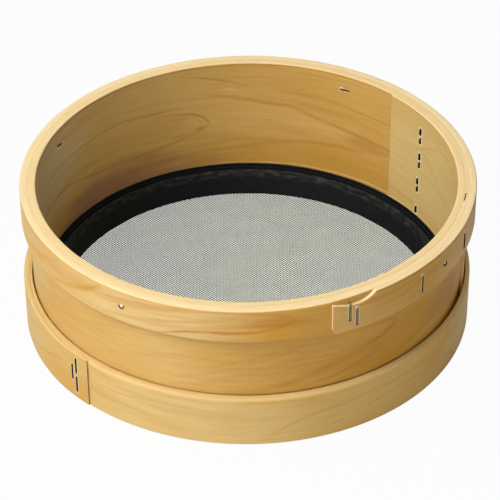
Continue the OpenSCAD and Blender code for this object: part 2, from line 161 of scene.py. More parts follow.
# a figure is the pattern of growth rings on one face: rings are cut open towards "at",
# "rise" and "jump" say how the cut moves across them, and "slant" tips the whole pattern;
# a patch is face, tint, middle along and up, half length, half height and share;
# a stroke is tint, width and points along and up, with a strength where it isn't zero
hoopLook = {
    "pale": (0.705, 0.465, 0.167, 1), "warm": (0.53, 0.265, 0.030, 1),
    "streak": (0.43, 0.19, 0.035, 1), "edge": (0.83, 0.63, 0.33, 1),
    # of the next line's tints, the first is painted shade for hollows, gaps and a shaded end
    "stain": (0.22, 0.10, 0.03, 1), "ash": (0.62, 0.50, 0.23, 1), "blush": (0.34, 0.165, 0.115, 1),
    # the last tint on the next line is painted fill light for the shaded inside
    "rust": (0.38, 0.155, 0.030, 1), "paintedFill": (0.70, 0.57, 0.33, 1),
    "inside": {"at": 598.0, "middle": 45.0, "core": 26.0, "rise": 0.05, "slant": 0.0,
               "jumpFrom": 0.0, "jumpTo": 1.0, "jump": 0.0, "gap": 5.7, "drift": 3.5, "line": 0.4,
               "shown": [(0, 0.05), (0.14, 0.05), (0.18, 0.8), (0.5, 0.8), (0.54, 0.1), (1, 0.1)]},
    "outside": {"at": 186.0, "middle": 51.0, "core": 9.0, "rise": -0.04, "slant": 0.25,
                "jumpFrom": 262.0, "jumpTo": 330.0, "jump": 20.0, "gap": 6.2, "drift": 4.0,
                "line": 0.42,
                "shown": [(0, 1), (0.12, 0.4), (0.36, 0.25), (0.52, 0.25), (0.58, 1)]},
    "seed": 3.0, "streaks": 0.22, "streakSlant": 0.10, "roughness": 0.5, "length": 820.0,
    "insideTone": [(0, 0.1), (0.10, 0.1), (0.50, 0.05), (0.63, 0.22), (0.66, 0.18), (0.74, 0.48),
                   (0.80, 0.5), (0.86, 0.58)],
    # partly painted light and shade: paler where the front-left is lit, warmer and darker on the
    # shaded right
    "outsideTone": [(0, 0.6), (0.16, 0.95), (0.25, 0.82), (0.33, 0.6), (0.37, 0.25), (0.42, 0.35),
                    (0.49, 0.6), (0.54, 0.6), (1, 0.4)],
    "patches": [
        # painted fill light: the shaded inside left is made greyer and paler
        ("inside", "paintedFill", 470, 66, 62, 40, .75),
        ("inside", "blush", 540, 20, 85, 20, .75),
        ("inside", "warm", 655, 22, 150, 26, .5),
        ("inside", "streak", 694, 43, 17, 7, .4),
        ("inside", "ash", 35, 52, 100, 60, .4),
        ("outside", "rust", 140, 45, 32, 14, .5),
        ("outside", "ash", 410, 50, 30, 26, .4),
    ],
    "strokes": {
        "inside": [
            ("streak", 1.8, (455, 60), (480, 60, .35), (520, 61, .4), (545, 61.5, .4),
             (562, 59.5, .45), (582, 59, .3), (600, 58)),
            ("streak", 1.6, (458, 45), (485, 44, .5), (502, 42.5, .5), (516, 38.5, .5),
             (532, 35.8, .5), (555, 34.6, .5), (577, 36.5, .5), (590, 39.5, .6), (597, 43.5, .7),
             (600, 46)),
            ("streak", 1.6, (560, 57.5), (580, 55.2, .5), (591, 53, .7), (597, 50, .8),
             (599.5, 47, .7), (600.5, 46)),
            ("streak", 1.0, (570, 52), (583, 51.5, .6), (592, 49.8, .7), (595.5, 47.5, .6),
             (596.5, 46)),
            ("streak", 1.0, (570, 39), (583, 40, .6), (591, 41.8, .7), (595.5, 44.5, .6),
             (596.5, 46)),
            ("streak", 1.6, (500, 46.5), (510, 46, .4), (520, 45.8, .4), (532, 42.5)),
            ("streak", 2.6, (485, 31), (505, 28.5, .4), (525, 26, .4), (560, 25.2, .4),
             (590, 26, .4), (620, 28.5, .4), (636, 31.5, .45), (652, 34.2, .5), (672, 35.5, .45),
             (692, 38, .35), (712, 43, .3), (716, 44)),
            ("streak", 1.1, (575, 79.5), (590, 78, .5), (605, 74.5, .6), (615, 72, .5),
             (628, 68.5)),
            ("streak", 2.2, (585, 67.5), (600, 65.5, .3), (614, 62.2, .5), (628, 59.2, .6),
             (650, 56.6, .6), (663, 52.2, .5), (677, 49.2, .6), (692, 47, .7), (714, 46, .5),
             (716, 46)),
            ("streak", 1.4, (640, 68), (658, 66.2, .3), (680, 64.3, .4), (700, 63, .5),
             (714, 63, .4), (716, 63)),
            ("streak", 1.6, (16, 60), (24, 61.5, .2), (33, 66.5, .25), (45, 72, .25), (60, 76, .25),
             (82, 80, .15), (96, 81)),
            ("streak", 1.6, (24, 63), (31, 60, .25), (40, 55, .28), (50, 49, .28), (60, 44, .25),
             (72, 34, .22), (84, 24, .15), (92, 18)),
            # painted shade: a dark line along the inside just under the rim's top edge
            ("stain", .8, (420, 83.9), (435, 83.9, .95), (520, 83.9, .8), (600, 83.9, .45),
             (700, 83.9, .4), (716, 83.9)),
            ("stain", .7, (0, 83.7), (15, 83.7, .3), (60, 83.7, .3), (90, 83.7)),
            # painted highlights in the edge tint: glints on the grain by the cathedral, and a light
            # line along the wall's foot over the black border
            ("edge", .8, (582, 50.6), (589, 50.5, .5), (594, 49.6, .4), (596, 49)),
            ("edge", .8, (585, 41.6), (590, 40.8, .5), (594, 42)),
            ("edge", 1.8, (606, 68.6), (613, 67.4, .4), (620, 66.4)),
            ("edge", .7, (590, 17.7), (640, 17.8, .7), (714, 17.8, .9), (716, 17.8)),
            ("edge", .7, (0, 17.8), (1, 17.8, .8), (60, 17.8, .7), (85, 17.8)),
        ],
        "outside": [
            # painted shade: a dark line on the wall just above the lower hoop, in the gap between
            # them
            ("stain", .7, (98, 29.3), (112, 29.3, 1), (195, 29.3, 1), (240, 29.4, .7),
             (330, 29.4, .5), (450, 29.4, .5), (480, 29.4)),
            ("streak", 4.0, (183, 55), (186, 53.5, .7), (196, 49, .65), (210, 45, .6),
             (225, 41, .6), (240, 36.5, .5), (255, 33, .4), (270, 30)),
            ("streak", 1.8, (183, 55.4), (187, 57, .7), (196, 58.6, .5), (206, 60)),
            ("streak", 1.9, (192, 42.5), (194, 42, .8), (203, 39, .75), (215, 36, .7),
             (232, 32.5, .4), (245, 31)),
            ("streak", 1.4, (192, 43), (194.5, 44.5, .4), (202, 46)),
            ("streak", 2.0, (235, 60), (238, 57, .3), (248, 53, .25), (262, 49, .2), (280, 43, .2),
             (300, 37, .15), (320, 32)),
            ("streak", 2.6, (150, 38.5), (165, 37.5, .3), (180, 35, .4), (195, 32.5, .3),
             (205, 31)),
        ],
    },
}
bandFigure = {"at": 142.0, "middle": 79.0, "core": 5.8, "rise": -0.035, "slant": 0.06, "gap": 2.9,
              "drift": 1.6}
bandLook = {
    "pale": (0.72, 0.49, 0.20, 1), "warm": (0.55, 0.275, 0.025, 1),
    "streak": (0.50, 0.19, 0.012, 1), "edge": (0.86, 0.68, 0.38, 1),
    "stain": (0.80, 0.60, 0.32, 1), "ash": (0.62, 0.47, 0.21, 1), "blush": (0.50, 0.20, 0.025, 1),
    "shade": (0.16, 0.08, 0.02, 1),
    "inside": {**bandFigure, "jumpFrom": 0.0, "jumpTo": 1.0, "jump": 0.0, "line": 0.4,
               "shown": [(0, 1), (1, 1)]},
    "outside": {**bandFigure, "jumpFrom": 214.0, "jumpTo": 262.0, "jump": 6.0, "line": 0.5,
                "shown": [(0, 0.2), (0.36, 0.25), (0.42, 1), (0.82, 1), (0.86, 0.25), (1, 0.2)]},
    "seed": 11.0, "streaks": 0.42, "streakSlant": 0.06, "roughness": 0.5, "length": 864.0,
    "insideTone": [(0, 0.2), (1, 0.2)],
    # partly painted light and shade: paler where the front-left is lit, warmer and darker on the
    # shaded right
    "outsideTone": [(0, 0.25), (0.1, 0.6), (0.145, 0.75), (0.175, 0.8), (0.2, 0.5), (0.225, 0),
                    (0.27, 0), (0.31, 0.25), (0.36, 0.5), (0.5, 0.1), (0.7, 0.3), (0.86, 0.1),
                    (0.89, 0.15), (0.925, 0.6), (0.975, 0.6), (1, 0.5)],
    "patches": [
        ("outside", "blush", 148, 77, 22, 6, .6),
        ("outside", "ash", 320, 75, 38, 16, .55),
        ("outside", "shade", 738, 75, 30, 30, .3),
    ],
    "strokes": {
        "outside": [
            ("streak", 1.6, (141.5, 79), (143, 77.5, .7), (149, 74.6, .8), (158, 72.6, .8),
             (172, 71.6, .9), (188, 71, .95), (197, 69.8, .9), (206, 67.4, .6), (212, 66)),
            ("streak", 1.4, (141.5, 79), (144, 80.3, .5), (152, 82.2, .5), (165, 83.6, .3),
             (175, 84)),
            ("streak", 1.8, (170, 78.5), (185, 77.5, .3), (200, 75.2, .35), (218, 72, .3),
             (238, 68.8, .25), (250, 66.5)),
            ("warm", 3.2, (240, 83), (246, 80, .7), (253, 76, .8), (263, 72.5, .6), (276, 69.5, .5),
             (288, 67)),
            ("warm", 3.2, (270, 82), (278, 79.5, .4), (288, 76, .4), (300, 73, .3), (315, 70)),
            ("blush", 2.4, (772, 80.5), (790, 80, .4), (803, 78.6, .5), (818, 76.5, .4),
             (835, 75, .2), (846, 74.5)),
            ("streak", 1.6, (755, 74), (775, 73.5, .2), (800, 71.5, .2), (830, 70)),
            ("shade", .8, (715, 83.9), (735, 83.9, 1), (760, 83.9, .9), (846, 83.9, .6),
             (850, 83.9)),
        ],
    },
}
lowFigure = {"at": 262.0, "middle": 4.0, "core": 17.0, "rise": 0.0, "slant": 0.0,
             "jumpFrom": 195.0, "jumpTo": 262.0, "jump": -13.0, "gap": 4.6, "drift": 2.5}
lowLook = {
    "pale": (0.74, 0.53, 0.225, 1), "warm": (0.56, 0.30, 0.038, 1),
    "streak": (0.52, 0.25, 0.035, 1), "edge": (0.66, 0.475, 0.205, 1),
    # the first tint on the next line is painted shade for the lap's shaded end and the shadow
    # beside it
    "stain": (0.30, 0.115, 0.012, 1), "ash": (0.62, 0.47, 0.21, 1),
    "inside": {**lowFigure, "line": 0.3, "shown": [(0, 1), (1, 1)]},
    "outside": {**lowFigure, "line": 0.36,
                "shown": [(0, 0.2), (0.42, 0.25), (0.48, 1), (0.84, 1), (0.88, 0.2), (1, 0.2)]},
    "seed": 23.0, "streaks": 0.28, "streakSlant": 0.04, "roughness": 0.52, "length": 849.0,
    "insideTone": [(0, 0.2), (1, 0.2)],
    # partly painted light and shade: paler where the front-left is lit, warmer and darker on the
    # shaded right
    "outsideTone": [(0, 0.12), (0.12, 0.3), (0.15, 0), (0.2, 0), (0.235, 0.3), (0.27, 0.55),
                    (0.34, 0.62), (0.385, 0.75), (0.42, 0.8), (0.6, 0.3), (0.84, 0.3),
                    (0.9, 0.62), (0.98, 0.55)],
    "patches": [
        ("outside", "ash", 785, 14, 40, 26, .5),
        # painted shadow beside the lap's end
        ("outside", "stain", 104.8, 13.5, 1.5, 30, .95),
        ("outside", "ash", 345, 14, 34, 26, .6),
    ],
    "strokes": {
        "outside": [
            ("streak", 1.9, (203, 3), (207, 6.5, .2), (213, 10.5, .35), (221, 14.2, .4),
             (232, 17.2, .4), (246, 19.2, .35), (262, 20.2, .3), (285, 20.6, .3), (300, 20.6)),
            ("streak", 1.6, (105, 16.5), (116, 17.8, .25), (132, 19.6, .25), (150, 21.2, .22),
             (172, 22.6)),
            ("streak", 1.8, (228, 2), (236, 6, .2), (246, 10, .25), (262, 13, .25), (285, 14.5, .2),
             (310, 15, .2), (330, 15)),
            ("warm", 2.2, (794, 6), (806, 10.5, .5), (818, 15, .5), (830, 19.5, .4), (846, 24)),
            ("warm", 2.2, (775, 14), (790, 18, .4), (805, 23, .4), (815, 26)),
        ],
    },
}
# round the wires: the dark tint is painted shade where they sink into the wood, and the pale one is
# bruised wood and painted glints of the wires
woodSpots = {"dark": (0.07, 0.03, 0.008, 1), "crushedAndGlint": (0.93, 0.82, 0.56, 1),
             "darkShare": 0.9, "crushedAndGlintShare": 0.8}
# length and height of the wood's noises on a strip, in millimetres
grainSizes = {"drift": (130, 1), "bend": (60, 15), "ripple": (15, 5), "fade": (120, 18),
              "hush": (60, 12), "fibre": (14, 0.45), "grain": (45, 1.6), "broad": (90, 5.5),
              "zone": (80, 30), "ragged": (30, 6), "shaken": (22, 9), "broken": (18, 3)}
# the dark of one growth ring from its early to its late wood, and of the lines within it
lateStops = [(0, 0.6), (0.07, 0.14), (0.35, 0), (0.72, 0.16), (0.93, 1), (1, 0.6)]
minorStops = [(0, 0.2), (0.3, 0), (0.8, 0.7), (0.95, 1), (1, 0.2)]
strokeScale = 100  # a stroke's heights go through a ramp as shares of this


def grained(finish, name, along, up, *others, **settings):
    long, high = grainSizes[name]
    return finish.noise(along / long, up / high, *others, **settings)


def ringLines(finish, figure, along, up, depth, seed, length):
    # dark latewood lines of one face, from 0 to 1
    gap = figure["gap"]
    far = along - figure["at"]
    sway = (grained(finish, "drift", along, seed + 5) - 0.5) * figure["drift"]
    core = far * figure["rise"] + figure["core"] + depth * 0.5
    core = core + finish.ease(along, figure["jumpFrom"], figure["jumpTo"]) * figure["jump"]
    lift = up - figure["middle"] + far * figure["slant"] + sway
    ring = (lift ** 2 + core ** 2) ** 0.5 - figure["core"]
    ring = ring + (grained(finish, "bend", along, up, seed) - 0.5) * gap * 0.75
    ring = ring + (grained(finish, "ripple", along, up, seed + 3) - 0.5) * 0.9
    late = finish.ramp((ring / gap + 0.92).math("FRACT"), lateStops)
    minor = finish.ramp((ring / gap * 3 + 0.4).math("FRACT"), minorStops)
    fade = finish.ease(grained(finish, "fade", along, up, seed + 9, detail=3.0), 0.36, 0.62)
    hush = finish.ease(grained(finish, "hush", along, up, seed + 21, detail=3.0), 0.45, 0.7)
    shown = finish.ramp(along / length, figure["shown"])
    return (late * (fade * 0.85 + 0.15) + minor * hush * 0.14) * shown * figure["line"]


def strokeLine(finish, along, up, width, points):
    # one drawn line: its height and strength follow the points along the plank
    first, last = points[0][0], points[-1][0]
    part = finish.node("MapRange", {}, {0: along, 1: float(first), 2: float(last)})
    stops = [((at - first) / (last - first), height / strokeScale, sum(strength))
             for at, height, *strength in points]
    drawn = finish.ramp(part, stops, "CARDINAL")
    height, strength = [finish.node("SeparateColor", {}, {0: drawn}, output=i) for i in range(2)]
    off = (up - height * strokeScale).math("ABSOLUTE")
    return (1 - finish.ease(off, 0.0, width * 0.9)) * strength


def patched(finish, look, colour, along, up, faces):
    # broad zones of another tint with ragged borders
    ragged = (grained(finish, "ragged", along, up, look["seed"] + 31, detail=3.0) - 0.5) * 0.9
    for face, tint, at, middle, long, high, share in look["patches"]:
        far = (((along - at) / long) ** 2 + ((up - middle) / high) ** 2) ** 0.5 + ragged
        mask = (1 - finish.ease(far, 0.2, 1.0)) * faces[face] * share
        colour = finish.blend(mask, colour, look[tint])
    return colour


def stroked(finish, look, colour, along, up, faces):
    # single grain lines, shaken and broken like grown ones
    seed = look["seed"]
    shaken = up + (grained(finish, "shaken", along, up, seed + 50, detail=3.0) - 0.5) * 1.5
    broken = grained(finish, "broken", along, up, seed + 60, detail=3.0) * 1.5 + 0.05
    drawn = {}
    for face, strokes in look["strokes"].items():
        for tint, width, *points in strokes:
            line = strokeLine(finish, along, shaken, width, points) * faces[face]
            drawn[tint] = drawn[tint] + line if tint in drawn else line
    for tint, mask in drawn.items():
        colour = finish.blend(mask * broken, colour, look[tint])
    return colour


def spotted(finish, colour, along, up, faces, spots):
    # pale bruised wood with painted glints, and painted shade, round a wire which lies upright or
    # is a point
    for at, height, half, face, dark, pale in spots:
        past = ((up - height).math("ABSOLUTE") - half).math("MAXIMUM", 0.0)
        far = ((along - at) ** 2 + past ** 2) ** 0.5
        crushedAndGlint = (1 - finish.ease(far, pale * 0.5, pale)) * faces[face]
        colour = finish.blend(crushedAndGlint * woodSpots["crushedAndGlintShare"], colour, woodSpots["crushedAndGlint"])
        if dark:
            shaded = (1 - finish.ease(far, dark * 0.6, dark)) * faces[face]
            colour = finish.blend(shaded * woodSpots["darkShare"], colour, woodSpots["dark"])
    return colour


def woodFinish(look, along, up, depth, edge, finish, spots=()):
    # along, up and depth are millimetres in the plank before it was bent
    seed, length = look["seed"], look["length"]
    outer = finish.ease(depth, -1.0, 1.0)
    faces = {"inside": 1 - outer, "outside": outer}
    lines = 0.0
    for i, (face, share) in enumerate(faces.items()):
        ringed = ringLines(finish, look[face], along, up, depth, seed + 40 * i, length)
        lines = ringed * share + lines
    fibre = grained(finish, "fibre", along, up, depth / 0.5, detail=4.0, roughness=0.65)
    grain = grained(finish, "grain", along, up, depth + seed, detail=3.0, roughness=0.6)
    slanted = up + along * look["streakSlant"] + outer * along * look["outside"]["slant"] * 0.6
    broad = grained(finish, "broad", along, slanted, depth / 6 + seed + 2, detail=3.0)
    zone = finish.ease(grained(finish, "zone", along, up, seed + 14), 0.38, 0.70)
    # tone along the plank; on the outside it is partly painted light and shade
    inside = finish.ramp(along / length, look["insideTone"])
    outside = finish.ramp(along / length, look["outsideTone"])
    tone = inside * faces["inside"] + outside * faces["outside"]
    colour = finish.blend(zone * 0.26 + tone * 0.95 - 0.06, look["pale"], look["warm"])
    colour = patched(finish, look, colour, along, up, faces)
    colour = stroked(finish, look, colour, along, up, faces)
    colour = finish.blend(lines, colour, look["streak"])
    streak = finish.ease(broad, 0.50, 0.76) * look["streaks"]
    colour = finish.blend(streak, colour, look["streak"])
    colour = spotted(finish, colour, along, up, faces, spots)
    # cut edges are paler where sanded; on the rim's lit top this tint is partly a painted highlight
    colour = finish.blend(finish.ease(edge, 0.0, 1.0) * 0.8, colour, look["edge"])
    # ends flagged 2 are painted dark, as shade
    colour = finish.blend(finish.ease(edge, 1.5, 2.0), colour, look["stain"])
    shade = finish.ease(fibre, 0.15, 0.85) * 0.14 + finish.ease(grain, 0.2, 0.8) * 0.12 + 0.87
    colour = finish.blend(1.0, colour, finish.vector(shade, shade, shade), how="MULTIPLY")
    return finish.surface(
        Base_Color=colour, Roughness=look["roughness"] + fibre * 0.12,
        Normal=finish.bump(fibre * 0.6 - lines * 0.5, 0.00006, 0.5), Specular_IOR_Level=0.18)


def stripWood(name, look, spots):
    finish = newFinish(name)
    return woodFinish(look, *finish.mapped("plank"), *finish.mapped("cut"), finish, spots)


def ringWood(name, look, radius):
    # for a ring that has no plank map: its length runs round the axis
    finish = newFinish(name)
    x, y, z = finish.position()
    along = y.math("ARCTAN2", x) * radius
    depth = (x * x + y * y) ** 0.5 / mm - radius
    plain = {**look, "strokes": {}, "patches": []}
    return woodFinish(plain, along, z / mm, depth, depth * 0, finish)


clothLook = {"colour": (0.0011, 0.0019, 0.0023, 1), "worn": (0.0050, 0.0074, 0.0084, 1),
             # the pale tint on the next line is lint, and over the ridge also a painted sheen
             "lintAndSheen": (0.050, 0.052, 0.046, 1), "thread": 0.62,
             "ridge": (105.0, 106.0, 106.8, 107.8)}


def clothFinish(name, look):
    finish = newFinish(name)
    around, across = finish.mapped("cloth")
    step = 2 * math.pi / look["thread"]
    weave = (around * step).math("SINE") * (across * step).math("SINE") * 0.5 + 0.5
    dust = finish.noise(around / 6, across / 2.5, detail=4.0)
    fuzz = finish.noise(around / 0.3, across / 0.3)
    mask = finish.ease(dust, 0.45, 0.75) * 0.7 + weave * 0.25 + fuzz * 0.2
    colour = finish.blend(mask, look["colour"], look["worn"])
    # lint clings to the cloth, and a painted sheen lies on its shoulder where it turns over the
    # ring
    x, y, z = finish.position()
    radius = (x * x + y * y) ** 0.5 / mm
    rise, full, fall, end = look["ridge"]
    ridge = finish.ease(radius, rise, full) * (1 - finish.ease(radius, fall, end))
    specks = finish.ease(finish.noise(around / 0.7, across / 0.7, detail=1.0), 0.62, 0.78)
    lintAndSheen = specks * 0.35 + finish.ease(fuzz * 0.5 + dust * 0.5, 0.45, 0.62) * ridge
    colour = finish.blend(lintAndSheen * 0.8, colour, look["lintAndSheen"])
    return finish.surface(
        Base_Color=colour, Roughness=0.50 + fuzz * 0.2,
        Normal=finish.bump(weave * 0.8 + fuzz * 0.4, 0.00012, 0.8), Specular_IOR_Level=0.14)


steelLook = {"bright": (0.25, 0.19, 0.10, 1), "dull": (0.075, 0.055, 0.03, 1), "roughness": 0.4}
darkSteelLook = {"bright": (0.020, 0.017, 0.013, 1), "dull": (0.006, 0.005, 0.004, 1),
                 "roughness": 0.5}


def steelFinish(name, look):
    finish = newFinish(name)
    x, y, z = finish.position()
    tarnish = finish.noise(x * 700, y * 700, z * 700, detail=4.0, roughness=0.65)
    drawn = finish.noise(x * 6000, y * 6000, z * 500, detail=1.0)
    colour = finish.blend(finish.ease(tarnish, 0.42, 0.72), look["bright"], look["dull"])
    return finish.surface(
        Base_Color=colour, Metallic=1.0 - finish.ease(tarnish, 0.5, 0.85) * 0.4,
        Roughness=look["roughness"] + tarnish * 0.22,
        Normal=finish.bump(drawn * 0.5 + tarnish * 0.5, 0.00003, 0.6))


# one steel in two copies: the warp is the lit copy and the weft a darker copy painted as shade, so
# the crossings show
warpLitLook = {"bright": (0.25, 0.29, 0.102, 1), "dull": (0.147, 0.172, 0.060, 1)}
weftShadedLook = {"bright": (0.122, 0.142, 0.050, 1), "dull": (0.066, 0.078, 0.027, 1)}


def netFinish(name, look):
    finish = newFinish(name)
    x, y, z = finish.position()
    cloud = finish.noise(x * 60, y * 60, z * 60, detail=3.0)
    grain = finish.noise(x * 3500, y * 3500, z * 3500, detail=1.0)
    mask = finish.ease(cloud * 0.5 + grain * 0.5, 0.35, 0.65)
    colour = finish.blend(mask, look["bright"], look["dull"])
    return finish.surface(Base_Color=colour, Metallic=0.6, Roughness=0.34 + grain * 0.2,
                          Normal=finish.bump(grain, 0.00002, 0.5))


# plan of the hoops
plan = {
    "rimRadius": 120.0, "height": 85.0, "lapWay": -30.0, "lapShift": 0.8,
    "glueGap": 0.02, "seatGap": 0.1, "bedding": 0.08, "buriedRound": 0.05,
    "topSway": 0.06, "footSway": 0.1,
}
hoop = {"thickness": 4.2, "along": 113.6, "outerEnd": -9.5, "innerEnd": 43.5, "foot": 1.9,
        "rounds": (0.4, 0.8, 0.06, 0.3)}
band = {"thickness": 4.2, "along": 117.9, "height": 20.0, "outerEnd": -69.8, "endGap": 0.6,
        "slitWidth": 0.7, "slitLength": 6.5, "slitTaper": 0.6, "glueWay": -90.0,
        "rounds": (0.15, 0.06, 0.8, 1.5)}
tongue = {"dip": 4.0, "cornerDip": 1.6, "slope": 8.2, "flat": 5.3, "curve": 15.0,
          "footHeight": 3.2, "footLength": 1.8}
lower = {"thickness": 4.0, "along": 118.4, "height": 29.5, "shiftWay": -80.0, "shift": 0.6,
         "outerEnd": 226.7, "innerEnd": 176.0, "thinLength": 24.5, "endThickness": 0.8,
         "gapStart": -46.0, "gapWay": 20.0, "glueWay": 24.0, "thinWay": -90.0,
         "bindingThickness": 0.5, "seamRound": 0.25, "rounds": (0.5, 0.5, 1.8, 0.9)}

bandOut = plan["rimRadius"]
bandIn = bandOut - band["thickness"]
hoopOut = bandIn - plan["seatGap"]
hoopIn = hoopOut - hoop["thickness"]
bindingIn = hoopOut + plan["seatGap"]
bindingOut = bindingIn + lower["bindingThickness"]
lowIn = bindingOut + plan["seatGap"]
lowOut = lowIn + lower["thickness"]
joinAz = plan["lapWay"] + 180
lowJoinAz = lower["shiftWay"] + 180


def reach(radius, shift, way, az):
    # distance from the axis to a circle whose centre is shifted towards way
    turn = math.radians(az - way)
    return shift * math.cos(turn) + math.sqrt(radius ** 2 - (shift * math.sin(turn)) ** 2)


def passCircle(first, firstAz, second, secondAz, way):
    # the circle shifted towards way that passes two points of the plan
    a, b = math.radians(firstAz - way), math.radians(secondAz - way)
    shift = (first ** 2 - second ** 2) / (first * math.cos(a) - second * math.cos(b)) / 2
    return math.hypot(first * math.cos(a) - shift, first * math.sin(a)), shift, way


def lapped(radius, az):
    return reach(radius + plan["lapShift"], plan["lapShift"], plan["lapWay"], az)


def lowLapped(radius, az):
    return reach(radius + lower["shift"], lower["shift"], lower["shiftWay"], az)


def alongHoop(az, length, radius):
    return az + math.degrees(length / radius)


def sway(turn, seed):
    # slow unevenness of hand work, from -1 to 1
    a = math.radians(turn)
    waves = ((3, 1.0), (7, 2.3), (17, 4.1))
    return sum(math.sin(times * a + offset * seed) for times, offset in waves) / len(waves)


def rimTop(turn, seed):
    return plan["height"] - plan["topSway"] * (1 + sway(turn, seed))


hoopLapTurn = hoop["innerEnd"] - hoop["outerEnd"]
hoopGlue = passCircle(hoopOut, hoop["outerEnd"], lapped(hoopIn, hoop["innerEnd"]),
                      hoop["innerEnd"], plan["lapWay"])


def hoopSection(turn):
    az = hoop["innerEnd"] - turn
    inLow, inTop, outTop, outLow = hoop["rounds"]
    if az > joinAz - 360:
        inside, outside = hoopIn, hoopOut + plan["bedding"]
        if turn < hoopLapTurn:
            radius, shift, way = hoopGlue
            outside = min(hoopOut, reach(radius - plan["glueGap"], shift, way, az))
            outTop = outLow = plan["buriedRound"]
    else:
        inside, outside = lapped(hoopIn, az), lapped(hoopOut, az) + plan["bedding"]
        if turn > 360:
            inside = max(inside, reach(*hoopGlue, az))
            inTop = inLow = plan["buriedRound"]
    return az, inside, outside, hoop["foot"], rimTop(turn, 1.0), (inLow, inTop, outTop, outLow)


bandInnerEnd = alongHoop(hoop["outerEnd"], -band["endGap"], hoopOut)
bandLapTurn = bandInnerEnd - band["outerEnd"]
bandTurns = 360 + bandLapTurn
bandGlue = passCircle(bandOut, band["outerEnd"], lapped(bandIn, bandInnerEnd), bandInnerEnd,
                      band["outerEnd"] + band["glueWay"])


def tongueDip(x):
    # how far the tongue's top edge lies below the rim, x from its end
    x = max(x, 0.0)
    if x < tongue["slope"]:
        return tongue["cornerDip"] + (tongue["dip"] - tongue["cornerDip"]) * x / tongue["slope"]
    x -= tongue["slope"] + tongue["flat"]
    if x < 0:
        return tongue["dip"]
    if x >= tongue["curve"]:
        return 0.0
    return max(0.0, tongue["dip"] - tongue["curve"] + math.sqrt(tongue["curve"] ** 2 - x ** 2))


def bandSection(turn):
    az = bandInnerEnd - turn
    low = plan["height"] - band["height"] + plan["footSway"] * (1 + sway(turn, 4.0))
    top = rimTop(turn, 2.0)
    inLow, inTop, outTop, outLow = band["rounds"]
    if az > joinAz - 360:
        inside, outside = bandIn, bandOut
        if turn < bandLapTurn:
            radius, shift, way = bandGlue
            outside = min(bandOut, reach(radius - plan["glueGap"], shift, way, az))
            outTop = outLow = plan["buriedRound"]
            slit = band["slitLength"] - math.radians(turn) * hoopOut
            inside += band["slitWidth"] * min(max(slit / band["slitTaper"], 0.0), 1.0)
    else:
        inside, outside = lapped(bandIn, az), lapped(bandOut, az)
        if turn > 360:
            inside = max(inside, reach(*bandGlue, az))
            inTop = inLow = plan["buriedRound"]
            x = bandOut * math.sin(math.radians(bandTurns - turn))
            top -= tongueDip(x)
            low += tongue["footHeight"] * max(0.0, 1 - x / tongue["footLength"])
    return az, inside, outside, low, top, (inLow, inTop, outTop, outLow)


lowThinAz = alongHoop(lower["outerEnd"], -lower["thinLength"], lowOut)
lowGlue = passCircle(lowOut - lower["endThickness"] / 2, lower["outerEnd"],
                     lowLapped(lowIn, lower["innerEnd"]), lower["innerEnd"],
                     lower["outerEnd"] + lower["glueWay"])
lowThin = passCircle(lowOut + lower["endThickness"] / 2, lower["outerEnd"],
                     lowLapped(lowOut, lowThinAz), lowThinAz, lower["outerEnd"] + lower["thinWay"])
lowGap = passCircle(lapped(lowIn, hoop["outerEnd"]), hoop["outerEnd"], lowIn,
                    lower["gapStart"], lower["gapWay"])
lowLapTurn = lower["outerEnd"] - lower["innerEnd"]


def lowInside(az):
    # inside of the lower hoop, which clears the binding and rides over the hoop's outer end
    az = (az + 180) % 360 - 180
    if lower["gapStart"] < az < hoop["outerEnd"]:
        return max(lowIn, reach(*lowGap, az))
    return lapped(lowIn, az) if hoop["outerEnd"] <= az <= joinAz else lowIn


def lowSection(turn):
    az = lower["innerEnd"] + turn
    top = lower["height"] - plan["footSway"] * (1 + sway(turn, 6.0))
    inside, outside = lowInside(az), lowOut
    inLow, inTop, outTop, outLow = lower["rounds"]
    if turn < lowLapTurn:
        radius, shift, way = lowGlue
        outside = min(lowOut, reach(radius - plan["glueGap"], shift, way, az))
        outTop, outLow = lower["seamRound"], plan["buriedRound"]
    if az > 360 + lowJoinAz:
        inside, outside = max(inside, lowLapped(lowIn, az)), lowLapped(lowOut, az)
        if turn > 360:
            inside = max(inside, reach(*lowGlue, az))
            inTop, inLow = lower["seamRound"], plan["buriedRound"]
        if az - 360 > lowThinAz:
            outside = min(outside, reach(*lowThin, az))
    return az, inside, outside, 0.0, top, (inLow, inTop, outTop, outLow)


